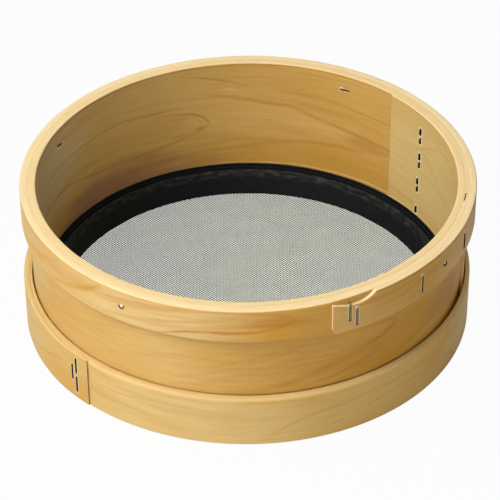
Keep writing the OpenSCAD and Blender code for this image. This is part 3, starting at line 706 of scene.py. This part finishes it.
# fasteners: "bare" lists the main lap's staples whose crowns no other hoop covers
wire = {"width": 1.0, "thin": 0.5, "thickness": 0.62, "crown": 10.0, "bend": 0.5, "sunk": 0.16,
        "tipLift": 0.35, "tipEnd": 0.8, "taper": 0.7}
lapStaple = {"azs": (30.3, 30.3, 30.8, 31.0), "heights": (70.7, 54.6, 37.85, 18.3),
             "rails": (4.5, 4.35, 4.1, 4.4), "upperTip": 3.7, "lowerTips": (3.1, 3.1, 3.1, 0),
             "bare": (1, 2), "round": 1.05, "tipSunk": 0.12, "crownRaised": 0.1, "deepCrown": 0.8,
             "legInset": 1.0}
bandStaple = {"tongue": ((-65.4, 77.3), (-63.5, 73.6)), "rim": ((-43.6, 74.6), (-23.1, 74.6)),
              "leg": 7.6}
lowStaple = {"backs": (8.4, 8.4, 11.5), "heights": (21.6, 9.4, 16.3), "leg": 3.0}
brad = {"height": 75.4, "fromOutside": (61.6, 157.8), "drops": (0.2, -1.6),
        "fromInside": (-121.4, -34.4), "wire": 0.75, "hook": 0.58, "tip": 5.8,
        "tipBend": 0.6, "tipTaper": 0.6, "hookBend": 0.8, "hookWide": (0, 0.3, 1),
        "hookRoot": (1.2, 0.9), "hookPath": ((0.1875, 1.35, 0.9), (0.2875, 0.8, -0.7),
                                             (0.2875, -0.8, -0.9), (0.1875, -1.4, 0.4),
                                             (-0.4, -1.5, 0.9)),
        "headRadius": 1.2, "headDepth": 0.4, "headRise": 0.225, "headSides": 16}

lapRow = tuple(zip(lapStaple["azs"], lapStaple["heights"], lapStaple["rails"],
                   lapStaple["lowerTips"]))
lowRow = [(alongHoop(lower["outerEnd"], -back, lowOut), height)
          for back, height in zip(lowStaple["backs"], lowStaple["heights"])]

# marks in the wood round the wires: how far the painted shade and the pale of bruised wood and
# painted glints reach, and where they lie
marks = {
    "tip": (0.9, 1.9), "crown": (0.8, 1.5), "lowCrown": (0.85, 1.3), "railInset": 0.3,
    "bandDarks": (1.05, 1.05, 0.6, 1.3), "bandPale": 0.5,
    "belowBand": (-0.6, 1.2, 1.3), "aboveBand": (-0.3, 0.7, 1.1), "hook": (0.1, 0.1, 1.7),
    "leftTip": ((0.5, -1.7, 1.2), (3.0, -1.9, 1.2), (6.4, -1.9, 1.5)),
    "rightTip": ((0.6, 0.2, 1.7), (3.2, -0.6, 1.0)),
    # the last mark is a painted shadow beside the lower hoop's lap end
    "lapEndShade": (0.2, 12.5, 8.0, 0.4, 0.6),
}


def bandFace(az):
    return lapped(bandOut, az) if band["outerEnd"] < az < joinAz else bandOut


def hoopSpot(az, height, half, face, dark, pale):
    turn = hoop["innerEnd"] - az
    if face == "inside":
        turn = turn % 360
    elif turn < 0 or az > hoop["outerEnd"]:
        turn += 360
    return math.radians(turn) * hoop["along"], height, half, face, dark, pale


def bandSpot(az, height, half, dark, pale):
    turn = bandInnerEnd - az
    if az > band["outerEnd"]:
        turn += 360
    return math.radians(turn) * band["along"], height, half, "outside", dark, pale


def hoopMarks():
    spots = []
    up = lapStaple["upperTip"] / 2
    # painted shade and pale bruised wood round each staple's tips and bare crown
    for i, (az, height, half, lowerTip) in enumerate(lapRow):
        down = lowerTip / 2
        spots.append(hoopSpot(az, height + half - up, up, "inside", *marks["tip"]))
        if lowerTip:
            spots.append(hoopSpot(az, height - half + down, down, "inside", *marks["tip"]))
        if i in lapStaple["bare"]:
            spots.append(hoopSpot(az, height, half, "outside", *marks["crown"]))
    # painted glints along the bent tips of the brads driven from outside
    right, left = brad["fromOutside"]
    for az, tips in ((left, marks["leftTip"]), (right, marks["rightTip"])):
        for far, drop, pale in tips:
            spot = hoopSpot(az, brad["height"] + drop, 0.0, "inside", 0.0, pale)
            spots.append((spot[0] + far, *spot[1:]))
    return spots


def bandMarks():
    spots = []
    half = wire["crown"] / 2 - marks["railInset"]
    places = bandStaple["tongue"] + bandStaple["rim"]
    drop, belowDark, belowPale = marks["belowBand"]
    aside, lift, abovePale = marks["aboveBand"]
    # painted shade and pale bruised wood round each crown, a painted shade dot at its foot and a
    # painted glint above it
    for (az, height), dark in zip(places, marks["bandDarks"]):
        spots.append(bandSpot(az, height, half, dark, dark + marks["bandPale"]))
        spots.append(bandSpot(az, height - half + drop, 0.0, belowDark, belowPale))
        spots.append(bandSpot(az + aside, height + half + lift, 0.0, 0.0, abovePale))
    # painted glints on the hooked brads
    lift, half, pale = marks["hook"]
    for az in brad["fromInside"]:
        spots.append(bandSpot(az, brad["height"] + lift, half, 0.0, pale))
    return spots


def lowMarks():
    half = wire["crown"] / 2 - marks["railInset"]
    # painted shade and pale bruised wood round each crown
    spots = [(math.radians(az - lower["innerEnd"] + 360) * lower["along"], height, half,
              "outside", *marks["lowCrown"]) for az, height in lowRow]
    # painted shadow beside the lap's end, with a pale rim
    past, height, half, dark, pale = marks["lapEndShade"]
    end = math.radians(lowLapTurn) * lower["along"]
    return spots + [(end + past, height, half, "outside", dark, pale)]


ringRadius = 106.0
hoopWood = stripWood("hoopWood", hoopLook, hoopMarks())
bandWood = stripWood("bandWood", bandLook, bandMarks())
lowWood = stripWood("lowWood", lowLook, lowMarks())
innerWood = ringWood("ringWood", hoopLook, ringRadius)
blackCloth = clothFinish("blackCloth", clothLook)
brightSteel = steelFinish("brightSteel", steelLook)
darkSteel = steelFinish("darkSteel", darkSteelLook)
warpSteelLit = netFinish("warpSteelLit", warpLitLook)
weftSteelShaded = netFinish("weftSteelShaded", weftShadedLook)
print("materials made")


# making meshes
def newMesh(name, spots, faces):
    mesh = bpy.data.meshes.new(name)
    mesh.from_pydata(spots, [], faces)
    return mesh


def finishPiece(mesh, material, node, sharp=40):
    mesh.materials.append(material)
    mesh.shade_smooth()
    mesh.set_sharp_from_angle(angle=math.radians(sharp))
    piece = bpy.data.objects.new(mesh.name, mesh)
    bpy.context.scene.collection.objects.link(piece)
    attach(piece, "root")
    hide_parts(node)
    print("made", mesh.name, len(mesh.polygons), "faces")
    return piece


def setMap(mesh, name, values):
    # values holds one pair for each vertex
    layer = mesh.uv_layers.new(name=name)
    corners = np.empty(len(mesh.loops), np.int32)
    mesh.loops.foreach_get("vertex_index", corners)
    layer.data.foreach_set("uv", np.asarray(values, np.float32)[corners].ravel())
    return layer


def polar(r, az, z):
    # a point from its distance to the axis, azimuth and height
    a = math.radians(az)
    return r * math.cos(a) * mm, r * math.sin(a) * mm, z * mm


def tubeFaces(rings, count, base=0, closed=False, inward=False):
    # quads between rings of count points, and flat ends where the tube isn't closed
    faces = []
    for i in range(rings if closed else rings - 1):
        a, b = base + i * count, base + (i + 1) % rings * count
        for k in range(count):
            n = (k + 1) % count
            faces.append((a + k, b + k, b + n, a + n) if inward else (a + k, a + n, b + n, b + k))
    if not closed:
        first = tuple(range(base, base + count))
        last = tuple(v + (rings - 1) * count for v in first)
        faces += [first, last[::-1]] if inward else [first[::-1], last]
    return faces


strip = {"cornerSteps": 5, "roundShare": 0.46, "support": 0.35, "endInset": 0.16,
         "endShare": 0.2}


def sectionPoints(inside, outside, low, top, rounds, rows):
    # closed outline of a strip's section: radius, height and how far it is a cut edge
    limit = strip["roundShare"] * (outside - inside)
    inLow, inTop, outTop, outLow = (min(r, limit) for r in rounds)
    points = []

    def corner(r, z, radius, start):
        for i in range(strip["cornerSteps"] + 1):
            a = math.radians(start - 90 * i / strip["cornerSteps"])
            edge = min(1.0, max(0.0, abs(math.sin(a)) * 1.6 - 0.5))
            points.append((r + radius * math.cos(a), z + radius * math.sin(a), edge))

    def face(r, start, end):
        support = math.copysign(strip["support"], end - start)
        points.extend((r, float(z), 0.0) for z in np.linspace(start + support, end - support, rows))

    face(inside, low + inLow, top - inTop)
    corner(inside + inTop, top - inTop, inTop, 180)
    points.append(((inside + outside + inTop - outTop) / 2, top, 1.0))
    corner(outside - outTop, top - outTop, outTop, 90)
    face(outside, top - outTop, low + outLow)
    corner(outside - outLow, low + outLow, outLow, 0)
    points.append(((inside + outside + inLow - outLow) / 2, low, 1.0))
    corner(inside + inLow, low + inLow, inLow, -90)
    return points


def bendStrip(name, section, turns, radius, rows, material, node, ends):
    # ends marks the two cut ends: up to 1 shows the edge's tint, and 2 the painted shade
    endInset = strip["endInset"]
    inset = math.degrees(endInset / radius)
    steps = [turns[0], turns[0] + inset] + turns[1:-1] + [turns[-1] - inset, turns[-1]]
    spots, plank, cut = [], [], []
    for i, turn in enumerate(steps):
        az, inside, outside, low, top, rounds = section(turn)
        if i in (0, len(steps) - 1):
            shrink = min(endInset, strip["endShare"] * (outside - inside))
            inside, outside = inside + shrink, outside - shrink
            low, top = low + endInset, top - endInset
        along = math.radians(turn) * radius
        for r, z, edge in sectionPoints(inside, outside, low, top, rounds, rows):
            spots.append(polar(r, az, z))
            plank.append((along, z))
            cut.append((r - radius, edge))
    faces = tubeFaces(len(steps), len(spots) // len(steps))
    if section(1)[0] > section(0)[0]:
        faces = [face[::-1] for face in faces]
    mesh = newMesh(name, spots, faces)
    setMap(mesh, "plank", plank)
    layer = setMap(mesh, "cut", cut)
    for face, stain in zip(mesh.polygons[len(faces) - 2:], ends):
        for corner in face.loop_indices:
            layer.data[corner].uv[1] = stain
    finishPiece(mesh, material, node)


def turnList(total, step, fineEnd=0.0, fineStep=0.25):
    coarse = np.arange(0, total - fineEnd, step).tolist()
    fine = np.arange(total - fineEnd, total, fineStep).tolist() if fineEnd else []
    return coarse + fine + [total]


bendStrip("mainHoop", hoopSection, turnList(360 + hoopLapTurn, 1.0), hoop["along"], 30,
          hoopWood, "main_hoop", (0.4, 0.4))
bendStrip("rimBand", bandSection, turnList(bandTurns, 1.0, 13.0, 0.2), band["along"], 9,
          bandWood, "rim_band", (0.9, 0.9))
bendStrip("lowerHoop", lowSection, turnList(360 + lowLapTurn, 1.0), lower["along"], 12,
          lowWood, "lower_hoop", (2.0, 2.0))


# woven net
net = {"radius": 115.9, "pitch": 1.32, "wire": 0.44, "sway": 0.22, "middle": 0.92, "turn": 45.0}


def weaveWires(name, crossways, material):
    # four-sided wires, one ring of points at each crossing
    pitch, half = net["pitch"] * mm, net["wire"] / 2 * mm
    reachOut, middle = net["radius"] * mm, net["middle"] * mm
    c, s = math.cos(math.radians(net["turn"])), math.sin(math.radians(net["turn"]))
    count = int(reachOut / pitch)
    spots, faces = [], []
    for i in range(-count, count + 1):
        side = i * pitch
        length = int(math.sqrt(max(reachOut ** 2 - side ** 2, 0.0)) / pitch)
        if length < 1:
            continue
        faces += tubeFaces(2 * length + 1, 4, len(spots), inward=True)
        for j in range(-length, length + 1):
            over = 1 if (i + j + crossways) % 2 else -1
            at, lift = j * pitch, middle + over * net["sway"] * mm
            ring = [(side - half, at, lift), (side, at, lift + half),
                    (side + half, at, lift), (side, at, lift - half)]
            flat = [(y, x, z) if crossways else (x, y, z) for x, y, z in ring]
            spots += [(x * c - y * s, x * s + y * c, z) for x, y, z in flat]
    if crossways:
        faces = [face[::-1] for face in faces]
    finishPiece(newMesh(name, spots, faces), material, "wire_net", sharp=100)


weaveWires("netWarp", 0, warpSteelLit)
weaveWires("netWeft", 1, weftSteelShaded)


# black cloth: a bend is a row of points that round a fold, out from its corner and up
border = {"low": 1.8, "top": 15.3, "outer": 111.4, "inner": 102.1, "topWidth": 2.0,
          "shoulder": 1.2, "grooveWidth": 2.6, "grooveDepth": 2.6, "thickness": 0.7,
          "sideSteps": 9, "shoulderSteps": 6, "footBend": ((0.6, 0), (0.12, 0.04), (0.06, 0.3)),
          "lipBend": ((-0.5, 0), (-0.15, -0.08), (0, -0.4)), "grooveBend": ((0, 0.3), (0.3, 0))}
hem = {"thickness": 0.7, "rise": 1.8, "bead": 1.0, "bevel": 0.15, "fold": 0.2,
       "beadStart": -60.0, "beadTurn": 300.0, "beadSteps": 12}
binding = {"low": 1.3, "thickness": 0.5, "height": 19.0, "inner": 102.8, "radius": 116.0,
           "rises": (5.0, 9.0, 13.0, 17.0), "fold": 0.3, "innerFold": 0.2, "topFold": 0.1,
           "leadShare": 6}
latheSteps = 360

grooveIn = border["outer"] - border["grooveWidth"]
shoulderIn = grooveIn - border["topWidth"]
grooveLow = border["top"] - border["grooveDepth"]
lean = (shoulderIn - border["inner"]) / (border["top"] - border["low"])
side = math.hypot(1, lean)
cornerZ = border["top"] - border["shoulder"]
cornerR = border["inner"] + (cornerZ - border["low"]) * lean + border["shoulder"] * side


def bent(r, z, bend):
    return [(r + out, z + up) for out, up in bend]


def borderPath(t):
    # the cloth's way round the hidden ring, drawn in by t
    low, top, radius = border["low"] + t, border["top"] - t, border["shoulder"] - t
    foot = border["inner"] + t * lean + t * side
    path = [(border["outer"], low), ((border["outer"] + foot) / 2, low)]
    path += bent(foot, low, border["footBend"])
    sideR, sideZ = cornerR - radius / side, cornerZ + radius * lean / side
    for k in range(1, border["sideSteps"]):
        f = k / border["sideSteps"]
        path.append((foot + (sideR - foot) * f, low + (sideZ - low) * f))
    start = math.atan2(lean, -1)
    for k in range(border["shoulderSteps"] + 1):
        a = start + (math.pi / 2 - start) * k / border["shoulderSteps"]
        path.append((cornerR + radius * math.cos(a), cornerZ + radius * math.sin(a)))
    path += bent(grooveIn - t, top, border["lipBend"])
    path += bent(grooveIn - t, grooveLow - t, border["grooveBend"])
    return path + [(border["outer"], grooveLow - t)]


def lathe(name, outline, node, wobble, seed):
    # a closed outline turned round the axis, with a cloth map in millimetres
    across = [0.0]
    for p, q in zip(outline, outline[1:]):
        across.append(across[-1] + math.dist(p, q))
    count = len(outline)
    spots, cloth = [], []
    for i in range(latheSteps + 1):
        az = 360 * i / latheSteps
        for k, (r, z) in enumerate(outline):
            cloth.append((math.radians(az) * ringRadius, across[k]))
            if i < latheSteps:
                r2 = r + wobble * sway(az, seed) * 0.5
                z2 = z + wobble * sway(az, seed + 2 + 0.02 * k)
                spots.append(polar(r2, az, z2))
    mesh = newMesh(name, spots, tubeFaces(latheSteps, count, closed=True, inward=True))
    layer = mesh.uv_layers.new(name="cloth")
    values = np.array(cloth, np.float32).reshape(latheSteps + 1, count, 2)
    i, k = np.arange(latheSteps)[:, None], np.arange(count)[None, :]
    n = (k + 1) % count
    quads = np.stack([values[i, k], values[i + 1, k], values[i + 1, n], values[i, n]], axis=2)
    layer.data.foreach_set("uv", quads.ravel())
    piece = finishPiece(mesh, blackCloth, node)


borderOutline = borderPath(0.0) + borderPath(border["thickness"])[::-1]
lathe("borderCloth", borderOutline[::-1], "border_cloth",
      0.05, 2.0)

hemIn = border["outer"] - hem["thickness"]
beadAt = (grooveIn + hemIn) / 2
webIn, webOut = beadAt - hem["thickness"] / 2, beadAt + hem["thickness"] / 2
hemTop = border["top"] + hem["rise"]
floorTop = grooveLow + hem["thickness"]
hemOutline = [(webIn, grooveLow), (border["outer"], grooveLow),
              (border["outer"], hemTop - hem["fold"]), (border["outer"] - hem["bevel"], hemTop),
              (hemIn + hem["bevel"], hemTop), (hemIn, hemTop - hem["fold"]),
              (hemIn, border["top"]), (hemIn, floorTop + hem["fold"]),
              (hemIn - hem["fold"], floorTop), (webOut, floorTop)]
for k in range(hem["beadSteps"] + 1):
    a = math.radians(hem["beadStart"] + hem["beadTurn"] * k / hem["beadSteps"])
    hemOutline.append((beadAt + hem["bead"] / 2 * math.cos(a),
                       border["top"] + hem["bead"] / 2 * math.sin(a)))
lathe("hemCloth", hemOutline[::-1], "border_hem", 0.08, 5.0)


def bindingRings():
    # azimuth and radius of the binding's two faces: it steps in where the hoop's end lies
    start = hoop["outerEnd"]
    lead = math.degrees((plan["seatGap"] + binding["thickness"]) / hoopOut)
    rings = []
    for az in [start + x for x in np.arange(0, 360, 1.0)]:
        inner, outer = bindingIn, bindingOut
        if az <= joinAz:
            inner, outer = lapped(bindingIn, az), lapped(bindingOut, az)
        rings.append((az, inner, az, outer))
    near, far = start - lead / binding["leadShare"], start - lead
    rings[0] = (near, rings[0][1], far, lapped(bindingOut, far))
    return rings + [(near, bindingIn, far, bindingOut)]


def bindingCloth():
    # the net's own cloth edge: flat under the border, then turned up between the hoops
    low, edge, fold = binding["low"], binding["inner"], binding["fold"]
    flange = low + binding["thickness"]
    rises = [flange + fold, *binding["rises"], binding["height"] - binding["topFold"]]
    rings = bindingRings()
    spots, cloth = [], []
    for azIn, inner, azOut, outer in rings:
        outline = [(edge, low, azOut), ((edge + outer) / 2, low, azOut),
                   (outer - fold, low, azOut), (outer, low + fold, azOut)]
        outline += [(outer, z, azOut) for z in rises] + [(inner, z, azIn) for z in rises[::-1]]
        outline += [(inner - binding["innerFold"], flange, azIn),
                    ((edge + inner) / 2, flange, azIn), (edge, flange, azIn)]
        across = 0.0
        for k, (r, z, az) in enumerate(outline):
            across += math.dist(outline[k - 1][:2], (r, z)) if k else 0.0
            spots.append(polar(r, az, z))
            cloth.append((math.radians(az) * binding["radius"], across))
    faces = tubeFaces(len(rings), len(spots) // len(rings), closed=True, inward=True)
    mesh = newMesh("netBinding", spots, [face[::-1] for face in faces])
    setMap(mesh, "cloth", cloth)
    piece = finishPiece(mesh, blackCloth, "edge_binding")


bindingCloth()

# wires are swept along a path in a frame at an azimuth: out, round and up from a face
sweep = {"sides": 8, "flatShare": 1.85, "bendSteps": 4, "bendShare": 0.45}


def curvePath(points, radius):
    # rounds the corners of a path
    points = [np.array(p, float) for p in points]
    path = [points[0]]
    for before, corner, after in zip(points, points[1:], points[2:]):
        back, on = np.linalg.norm(before - corner), np.linalg.norm(after - corner)
        cut = min(radius, sweep["bendShare"] * back, sweep["bendShare"] * on)
        for k in range(sweep["bendSteps"] + 1):
            t = k / sweep["bendSteps"]
            path.append(corner + (before - corner) / back * cut * (1 - t) ** 2
                        + (after - corner) / on * cut * t ** 2)
    return path + [points[-1]]


def sweepWire(path, width, thickness, wide, taper):
    # a wire along the path, its width along wide where it can be, thinner at its ends
    rings = []
    wide = np.array(wide, float)
    sides, share = sweep["sides"], sweep["flatShare"]
    for i, point in enumerate(path):
        ahead = path[min(i + 1, len(path) - 1)] - path[max(i - 1, 0)]
        ahead = ahead / np.linalg.norm(ahead)
        side = wide - ahead * np.dot(wide, ahead)
        side = side / np.linalg.norm(side)
        over = np.cross(ahead, side)
        size = taper if i in (0, len(path) - 1) else 1.0
        for k in range(sides):
            a = math.radians(360 / sides * (k + 0.5))
            rings.append(point + size * (side * math.cos(a) * width / share
                                         + over * math.sin(a) * thickness / share))
    return rings, tubeFaces(len(path), sides)


def lathePin():
    # a brad's flat head round the out axis
    radius, rise, sides = brad["headRadius"], brad["headRise"], brad["headSides"]
    outline = [(-brad["headDepth"], radius * 0.9), (0.0, radius), (rise * 0.6, radius),
               (rise, radius * 0.8), (rise, radius * 0.3)]
    rings = []
    for out, r in outline:
        for k in range(sides):
            a = 2 * math.pi * k / sides
            rings.append((out, r * math.cos(a), r * math.sin(a)))
    return rings, tubeFaces(len(outline), sides)


def fixWires(name, parts, material, node):
    # parts are meshes with the azimuth, radius and height of their frames
    spots, faces = [], []
    for (points, sides), az, radius, height, flip in parts:
        c, s = math.cos(math.radians(az)), math.sin(math.radians(az))
        base = len(spots)
        for out, beside, up in points:
            r, t = radius + flip * out, flip * beside
            spots.append(((r * c - t * s) * mm, (r * s + t * c) * mm, (height + up) * mm))
        faces += [tuple(base + i for i in face) for face in sides]
    finishPiece(newMesh(name, spots, faces), material, node, sharp=50)


def stapleWire(crownOut, legEnds, rail, width, thickness, tips=(0, 0), tipOut=0.0):
    # from the upper leg's end over the crown to the lower leg's end
    path = []
    for side, leg, tip in zip((1, -1), legEnds, tips):
        half = [(tipOut if tip else -leg, 0, side * rail)]
        if tip:
            lifted = (tipOut + wire["tipLift"], 0, side * (rail - tip))
            half = [lifted, (tipOut, 0, side * (rail - tip + wire["tipEnd"]))] + half
        half.append((crownOut, 0, side * rail))
        path += half if side == 1 else half[::-1]
    return sweepWire(curvePath(path, wire["bend"]), width, thickness, (0, 1, 0), wire["taper"])


def mainLapParts():
    parts = []
    thick = lapStaple["round"]
    for i, (az, height, rail, lowerTip) in enumerate(lapRow):
        face = lapped(hoopOut, az) + plan["bedding"]
        tipOut = hoopIn - face - thick / 2 + lapStaple["tipSunk"]
        bare = i in lapStaple["bare"]
        crownOut = -thick / 2 + lapStaple["crownRaised"] if bare else -lapStaple["deepCrown"]
        legs = (0, face - hoopIn - lapStaple["legInset"])
        tips = (lapStaple["upperTip"], lowerTip)
        parts.append((stapleWire(crownOut, legs, rail, thick, thick, tips, tipOut),
                      az, face, height, 1))
    return parts


def plainParts(places, faceOf, leg, width):
    crownOut = wire["thickness"] / 2 - wire["sunk"]
    rail = (wire["crown"] - width) / 2
    return [(stapleWire(crownOut, (leg, leg), rail, width, wire["thickness"]),
             az, faceOf(az), height, 1) for az, height in places]


def bradParts():
    parts = []
    d, tip = brad["wire"], brad["tip"]
    for az, drop in zip(brad["fromOutside"], brad["drops"]):
        # head under the band's face, tip turned along the hoop's inner face
        face = bandFace(az)
        wall = face - (lapped(hoopIn, az) if hoop["innerEnd"] < az < joinAz else hoopIn)
        path = [(0, 0, 0), (-wall - d * 0.3, 0, 0), (-wall - d * 0.55, -tip * 0.5, drop * 0.4),
                (-wall - d * 0.1, -tip, drop)]
        pin = sweepWire(curvePath(path, brad["tipBend"]), d, d, (0, 0, 1), brad["tipTaper"])
        parts += [(pin, az, face, brad["height"], 1), (lathePin(), az, face, brad["height"], 1)]
    for az in brad["fromInside"]:
        # head on the hoop's inner face, tip curled like a hook on the band's face
        wall = bandFace(az) - hoopIn
        path = [(0, *brad["hookRoot"])] + [(wall + out, *spot) for out, *spot in brad["hookPath"]]
        pin = sweepWire(curvePath(path, brad["hookBend"]), brad["hook"], brad["hook"],
                        brad["hookWide"], wire["taper"])
        parts += [(pin, az, hoopIn, brad["height"], 1),
                  (lathePin(), az, hoopIn, brad["height"], -1)]
    return parts


fixWires("mainLapStaples", mainLapParts(), darkSteel, "main_lap_staples")
fixWires("tongueStaples", plainParts(bandStaple["tongue"], bandFace, bandStaple["leg"],
                                     wire["width"]), brightSteel, "tongue_staples")
fixWires("rimStaples", plainParts(bandStaple["rim"], bandFace, bandStaple["leg"],
                                  wire["thin"]), darkSteel, "rim_staples")
fixWires("lowerLapStaples", plainParts(lowRow, lambda az: reach(*lowThin, az),
                                       lowStaple["leg"], wire["width"]),
         darkSteel, "lower_lap_staples")
fixWires("rimBrads", bradParts(), darkSteel, "rim_brads")

# the piece kept from the frame
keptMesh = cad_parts["inner_ring"].data
keptMesh.materials.clear()
keptMesh.materials.append(innerWood)
print("kept piece dressed")


# floor, light and camera: their sizes and places are metres
stageLook = {"floorSize": 8.0, "whitened": 0.96, "paper": 0.48, "mottle": 0.02,
             "ambient": 0.23, "white": (1, 1, 1, 1)}


def whitened(finish, amount):
    # rises to amount for what the camera, metal or glass sees directly
    seen = finish.node("LightPath", output="Is Camera Ray")
    seen = seen + finish.node("LightPath", output="Is Glossy Ray")
    seen = seen + finish.node("LightPath", output="Is Transmission Ray")
    return seen.math("MINIMUM", 1.0) * amount


def makeFloor():
    finish = newFinish("paperFloor")
    x, y, z = finish.position()
    tone = finish.noise(x * 3, y * 3) * stageLook["mottle"] + stageLook["paper"]
    paper = finish.node("BsdfDiffuse", {}, {"Color": finish.vector(tone, tone, tone)})
    glow = finish.node("Emission", {}, {"Color": stageLook["white"], "Strength": 1.0})
    share = whitened(finish, stageLook["whitened"])
    mixed = finish.node("MixShader", {}, {0: share, 1: paper, 2: glow})
    finish.node("OutputMaterial", {}, {"Surface": mixed})
    half = stageLook["floorSize"] / 2
    corners = [(-half, -half, 0), (half, -half, 0), (half, half, 0), (-half, half, 0)]
    mesh = newMesh("floor", corners, [(0, 1, 2, 3)])
    mesh.materials.append(finish.owner)
    floor = bpy.data.objects.new("floor", mesh)
    bpy.context.scene.collection.objects.link(floor)


def makeWorld():
    world = bpy.data.worlds.new("studio")
    bpy.context.scene.world = world
    finish = Finish(world)
    low = stageLook["ambient"]
    strength = whitened(finish, 1 - low) + low
    sky = finish.node("Background", {}, {"Color": stageLook["white"], "Strength": strength})
    finish.node("OutputWorld", {}, {"Surface": sky})


lights = {
    "key": {"place": (-1.12, -0.64, 1.3), "aim": (0, 0, 0.03), "size": 0.9, "power": 26.0},
    "top": {"place": (-0.1, 0.1, 1.7), "aim": (0, 0, 0.03), "size": 0.9, "power": 6.5},
    "front": {"place": (-0.1, -1.5, 0.7), "aim": (0, 0, 0.05), "size": 0.9, "power": 8.0},
}


def lookAlong(place, aim):
    # rotation that points a lamp's -z axis from its place to its aim
    ahead = [b - a for a, b in zip(place, aim)]
    length = math.sqrt(sum(v * v for v in ahead))
    tilt = math.acos(-ahead[2] / length)
    return (tilt, 0, math.atan2(ahead[1], ahead[0]) - math.pi / 2)


def makeLights():
    for name, light in lights.items():
        lamp = bpy.data.lights.new(name, "AREA")
        lamp.shape = "DISK"
        lamp.size = light["size"]
        lamp.energy = light["power"]
        holder = bpy.data.objects.new(name, lamp)
        holder.location = light["place"]
        holder.rotation_euler = lookAlong(light["place"], light["aim"])
        bpy.context.scene.collection.objects.link(holder)


# as fitted to the photo's circles
view = {
    "place": (0.0, -1.016956, 0.774611), "lens": 167.1707, "film": 36.0, "near": 0.05,
    "right": (0.99997, -0.00546, -0.00547), "down": (-0.00764, -0.58815, -0.80871),
    "ahead": (0.00120, 0.80873, -0.58818),
}


def makeCamera():
    lens = bpy.data.cameras.new("camera")
    lens.sensor_fit = "HORIZONTAL"
    lens.sensor_width = view["film"]
    lens.lens = view["lens"]
    lens.clip_start = view["near"]
    holder = bpy.data.objects.new("camera", lens)
    rows = [[right, -down, -ahead, place] for right, down, ahead, place
            in zip(view["right"], view["down"], view["ahead"], view["place"])]
    holder.matrix_world = Matrix(rows + [[0, 0, 0, 1]])
    bpy.context.scene.collection.objects.link(holder)
    bpy.context.scene.camera = holder


makeFloor()
makeWorld()
makeLights()
makeCamera()
bpy.context.scene.view_settings.view_transform = "Standard"
print("stage, lights and camera set")
